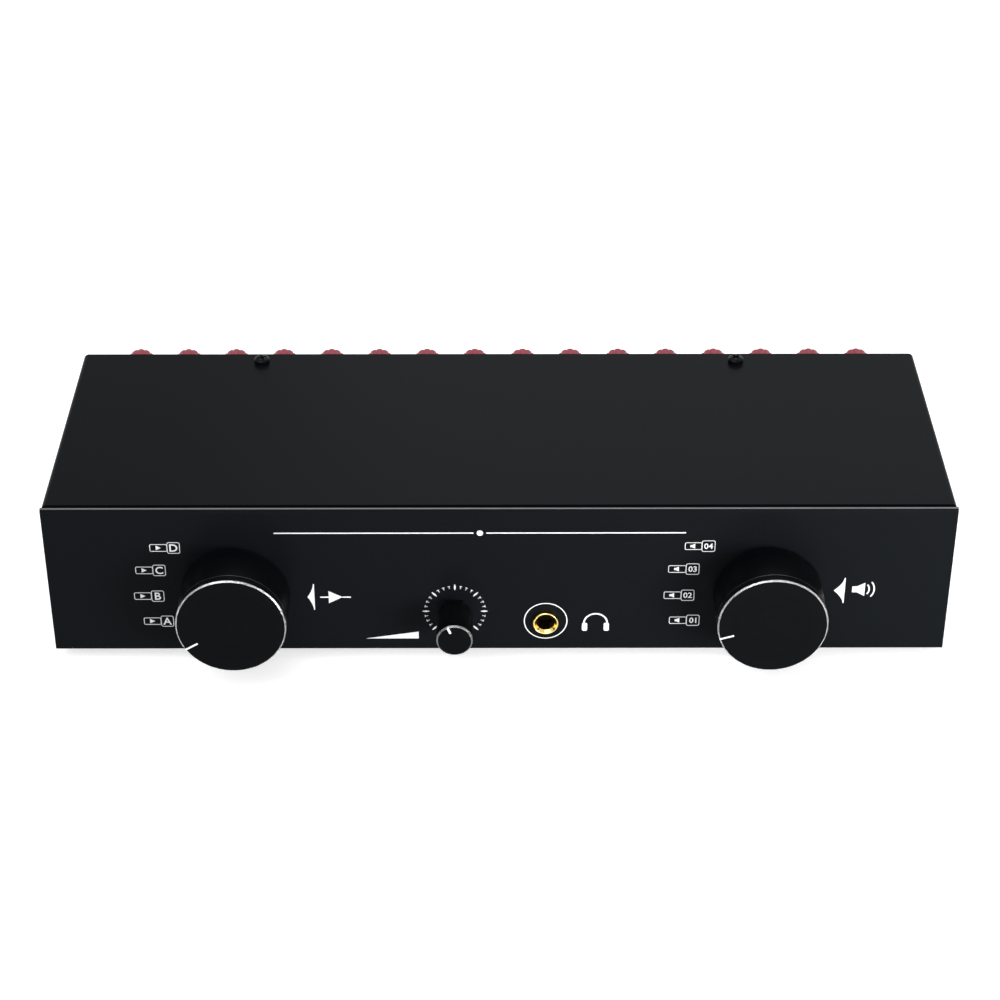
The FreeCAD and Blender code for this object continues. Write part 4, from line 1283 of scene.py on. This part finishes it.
@dataclass
class Studio:
    """Camera, floor, world and lamps."""

    lens: float = 87.34
    sensor: float = 36.0
    camera_place: tuple[float, float, float] = (-1.3, -761.8, 526.0)
    pitch: float = 32.87
    yaw: float = 0.125
    floor_half: float = 4.0
    white: float = 1.0
    fill: float = 0.40
    floor_glow: float = 0.6
    aim_height: float = 0.03

    def build(self) -> None:
        """Set the view transform and make everything that isn't the switch."""
        bpy.context.scene.view_settings.view_transform = "Standard"
        self.camera()
        self.floor()
        self.world()
        self.lamp("key_lamp", (-0.45, -0.75, 1.35), 1.3, 13.0)
        self.lamp("front_lamp", (0.5, -1.5, 0.85), 1.2, 5.0)
        self.lamp("back_lamp", (0.3, 1.1, 1.2), 1.2, 6.0)
        self.lamp("low_lamp", (0.36, -0.42, 0.04), 0.25, 4.0)

    def camera(self) -> None:
        """Place the camera that the corners of the case gave."""
        pitch, yaw = math.radians(self.pitch), math.radians(self.yaw)
        forward = Vector((math.sin(yaw) * math.cos(pitch), math.cos(yaw) * math.cos(pitch), -math.sin(pitch)))
        right = Vector((math.cos(yaw), -math.sin(yaw), 0.0))
        up = right.cross(forward)
        data = bpy.data.cameras.new("photo_camera")
        data.lens = self.lens
        data.sensor_width = self.sensor
        data.clip_start = 0.01
        item = bpy.data.objects.new("photo_camera", data)
        bpy.context.scene.collection.objects.link(item)
        turn = Matrix((right, up, -forward)).transposed().to_4x4()
        item.matrix_world = Matrix.Translation(Vector(self.camera_place) * MM) @ turn
        bpy.context.scene.camera = item

    def floor(self) -> None:
        """A pale floor that goes to white for the camera and for reflections, and keeps the shadow."""
        half = self.floor_half
        mesh = bpy.data.meshes.new("floor")
        mesh.from_pydata([(-half, -half, 0.0), (half, -half, 0.0), (half, half, 0.0), (-half, half, 0.0)], [],
                         [(0, 1, 2, 3)])
        item = bpy.data.objects.new("floor", mesh)
        bpy.context.scene.collection.objects.link(item)
        material = bpy.data.materials.new("floor_paper")
        material.use_nodes = True
        tree = material.node_tree
        shader = tree.nodes["Principled BSDF"]
        shader.inputs["Base Color"].default_value = (0.86, 0.86, 0.86, 1.0)
        shader.inputs["Roughness"].default_value = 0.9
        shader.inputs["Specular IOR Level"].default_value = 0.1
        shader.inputs["Emission Color"].default_value = (1.0, 1.0, 1.0, 1.0)
        tree.links.new(self.seen(tree, self.floor_glow), shader.inputs["Emission Strength"])
        mesh.materials.append(material)

    def seen(self, tree: bpy.types.NodeTree, strength: float) -> bpy.types.NodeSocket:
        """A value that is the strength for camera, glossy and transmission rays, and 0 for others.

        Args:
            tree: the tree that uses it.
            strength: the value for those rays.

        Returns:
            The output socket.
        """
        rays = tree.nodes.new("ShaderNodeLightPath").outputs
        mirrored = worked(tree, "MAXIMUM", rays["Is Camera Ray"], rays["Is Glossy Ray"])
        direct = worked(tree, "MAXIMUM", mirrored, rays["Is Transmission Ray"])
        return worked(tree, "MULTIPLY", direct, strength)

    def world(self) -> None:
        """A white background for the camera and for reflections, and a softer fill for everything else."""
        world = bpy.data.worlds.new("studio_world")
        bpy.context.scene.world = world
        world.use_nodes = True
        tree = world.node_tree
        background = tree.nodes["Background"]
        background.inputs["Color"].default_value = (1.0, 1.0, 1.0, 1.0)
        level = worked(tree, "ADD", self.seen(tree, self.white - self.fill), self.fill)
        tree.links.new(level, background.inputs["Strength"])

    def lamp(self, name: str, place: tuple[float, float, float], size: float, power: float) -> None:
        """A square soft lamp that faces the switch.

        Args:
            name: name of the lamp.
            place: its middle, in metres.
            size: its side, in metres.
            power: its power in watts.
        """
        data = bpy.data.lights.new(name, "AREA")
        data.shape = "SQUARE"
        data.size = size
        data.energy = power
        item = bpy.data.objects.new(name, data)
        bpy.context.scene.collection.objects.link(item)
        item.location = place
        item.visible_camera = False
        aim = Vector((0.0, 0.0, self.aim_height)) - Vector(place)
        item.rotation_euler = aim.to_track_quat("-Z", "Y").to_euler()


def main() -> None:
    """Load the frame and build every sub-assembly in order."""
    logging.basicConfig(level=logging.INFO, format="%(name)s: %(message)s")
    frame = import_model()
    Studio().build()
    fine_grain_group()
    spun_rings_group()
    painted_bend_highlight_group()
    CarriedNodes(frame["nodes"]).build()
    Knob("amp_knob", "amp_selector", AMP_X, SELECTOR_HEIGHT, pointer_angle=211.0).build()
    Knob("speaker_knob", "speaker_selector", SPEAKER_X, SELECTOR_HEIGHT, pointer_angle=197.0).build()
    Knob("volume_knob", "volume_control", VOLUME_X, VOLUME_HEIGHT, pointer_angle=113.0, radius=6.35, face=-73.1,
         back=-58.0, pointer_length=2.9, pointer_width=0.8, chamfer=0.45, groove=0.0, bore_end=-69.3,
         recess_depth=0.0).build()
    PanelLip().build()
    HeadphoneJack().build()
    for color in ROW_HEIGHTS:
        for column in range(POST_COLUMNS):
            PostCap(color, column).build()
    CaseScrews().build()
    Feet().build()
    PanelPrint().build()


if __name__ == "__main__":
    main()
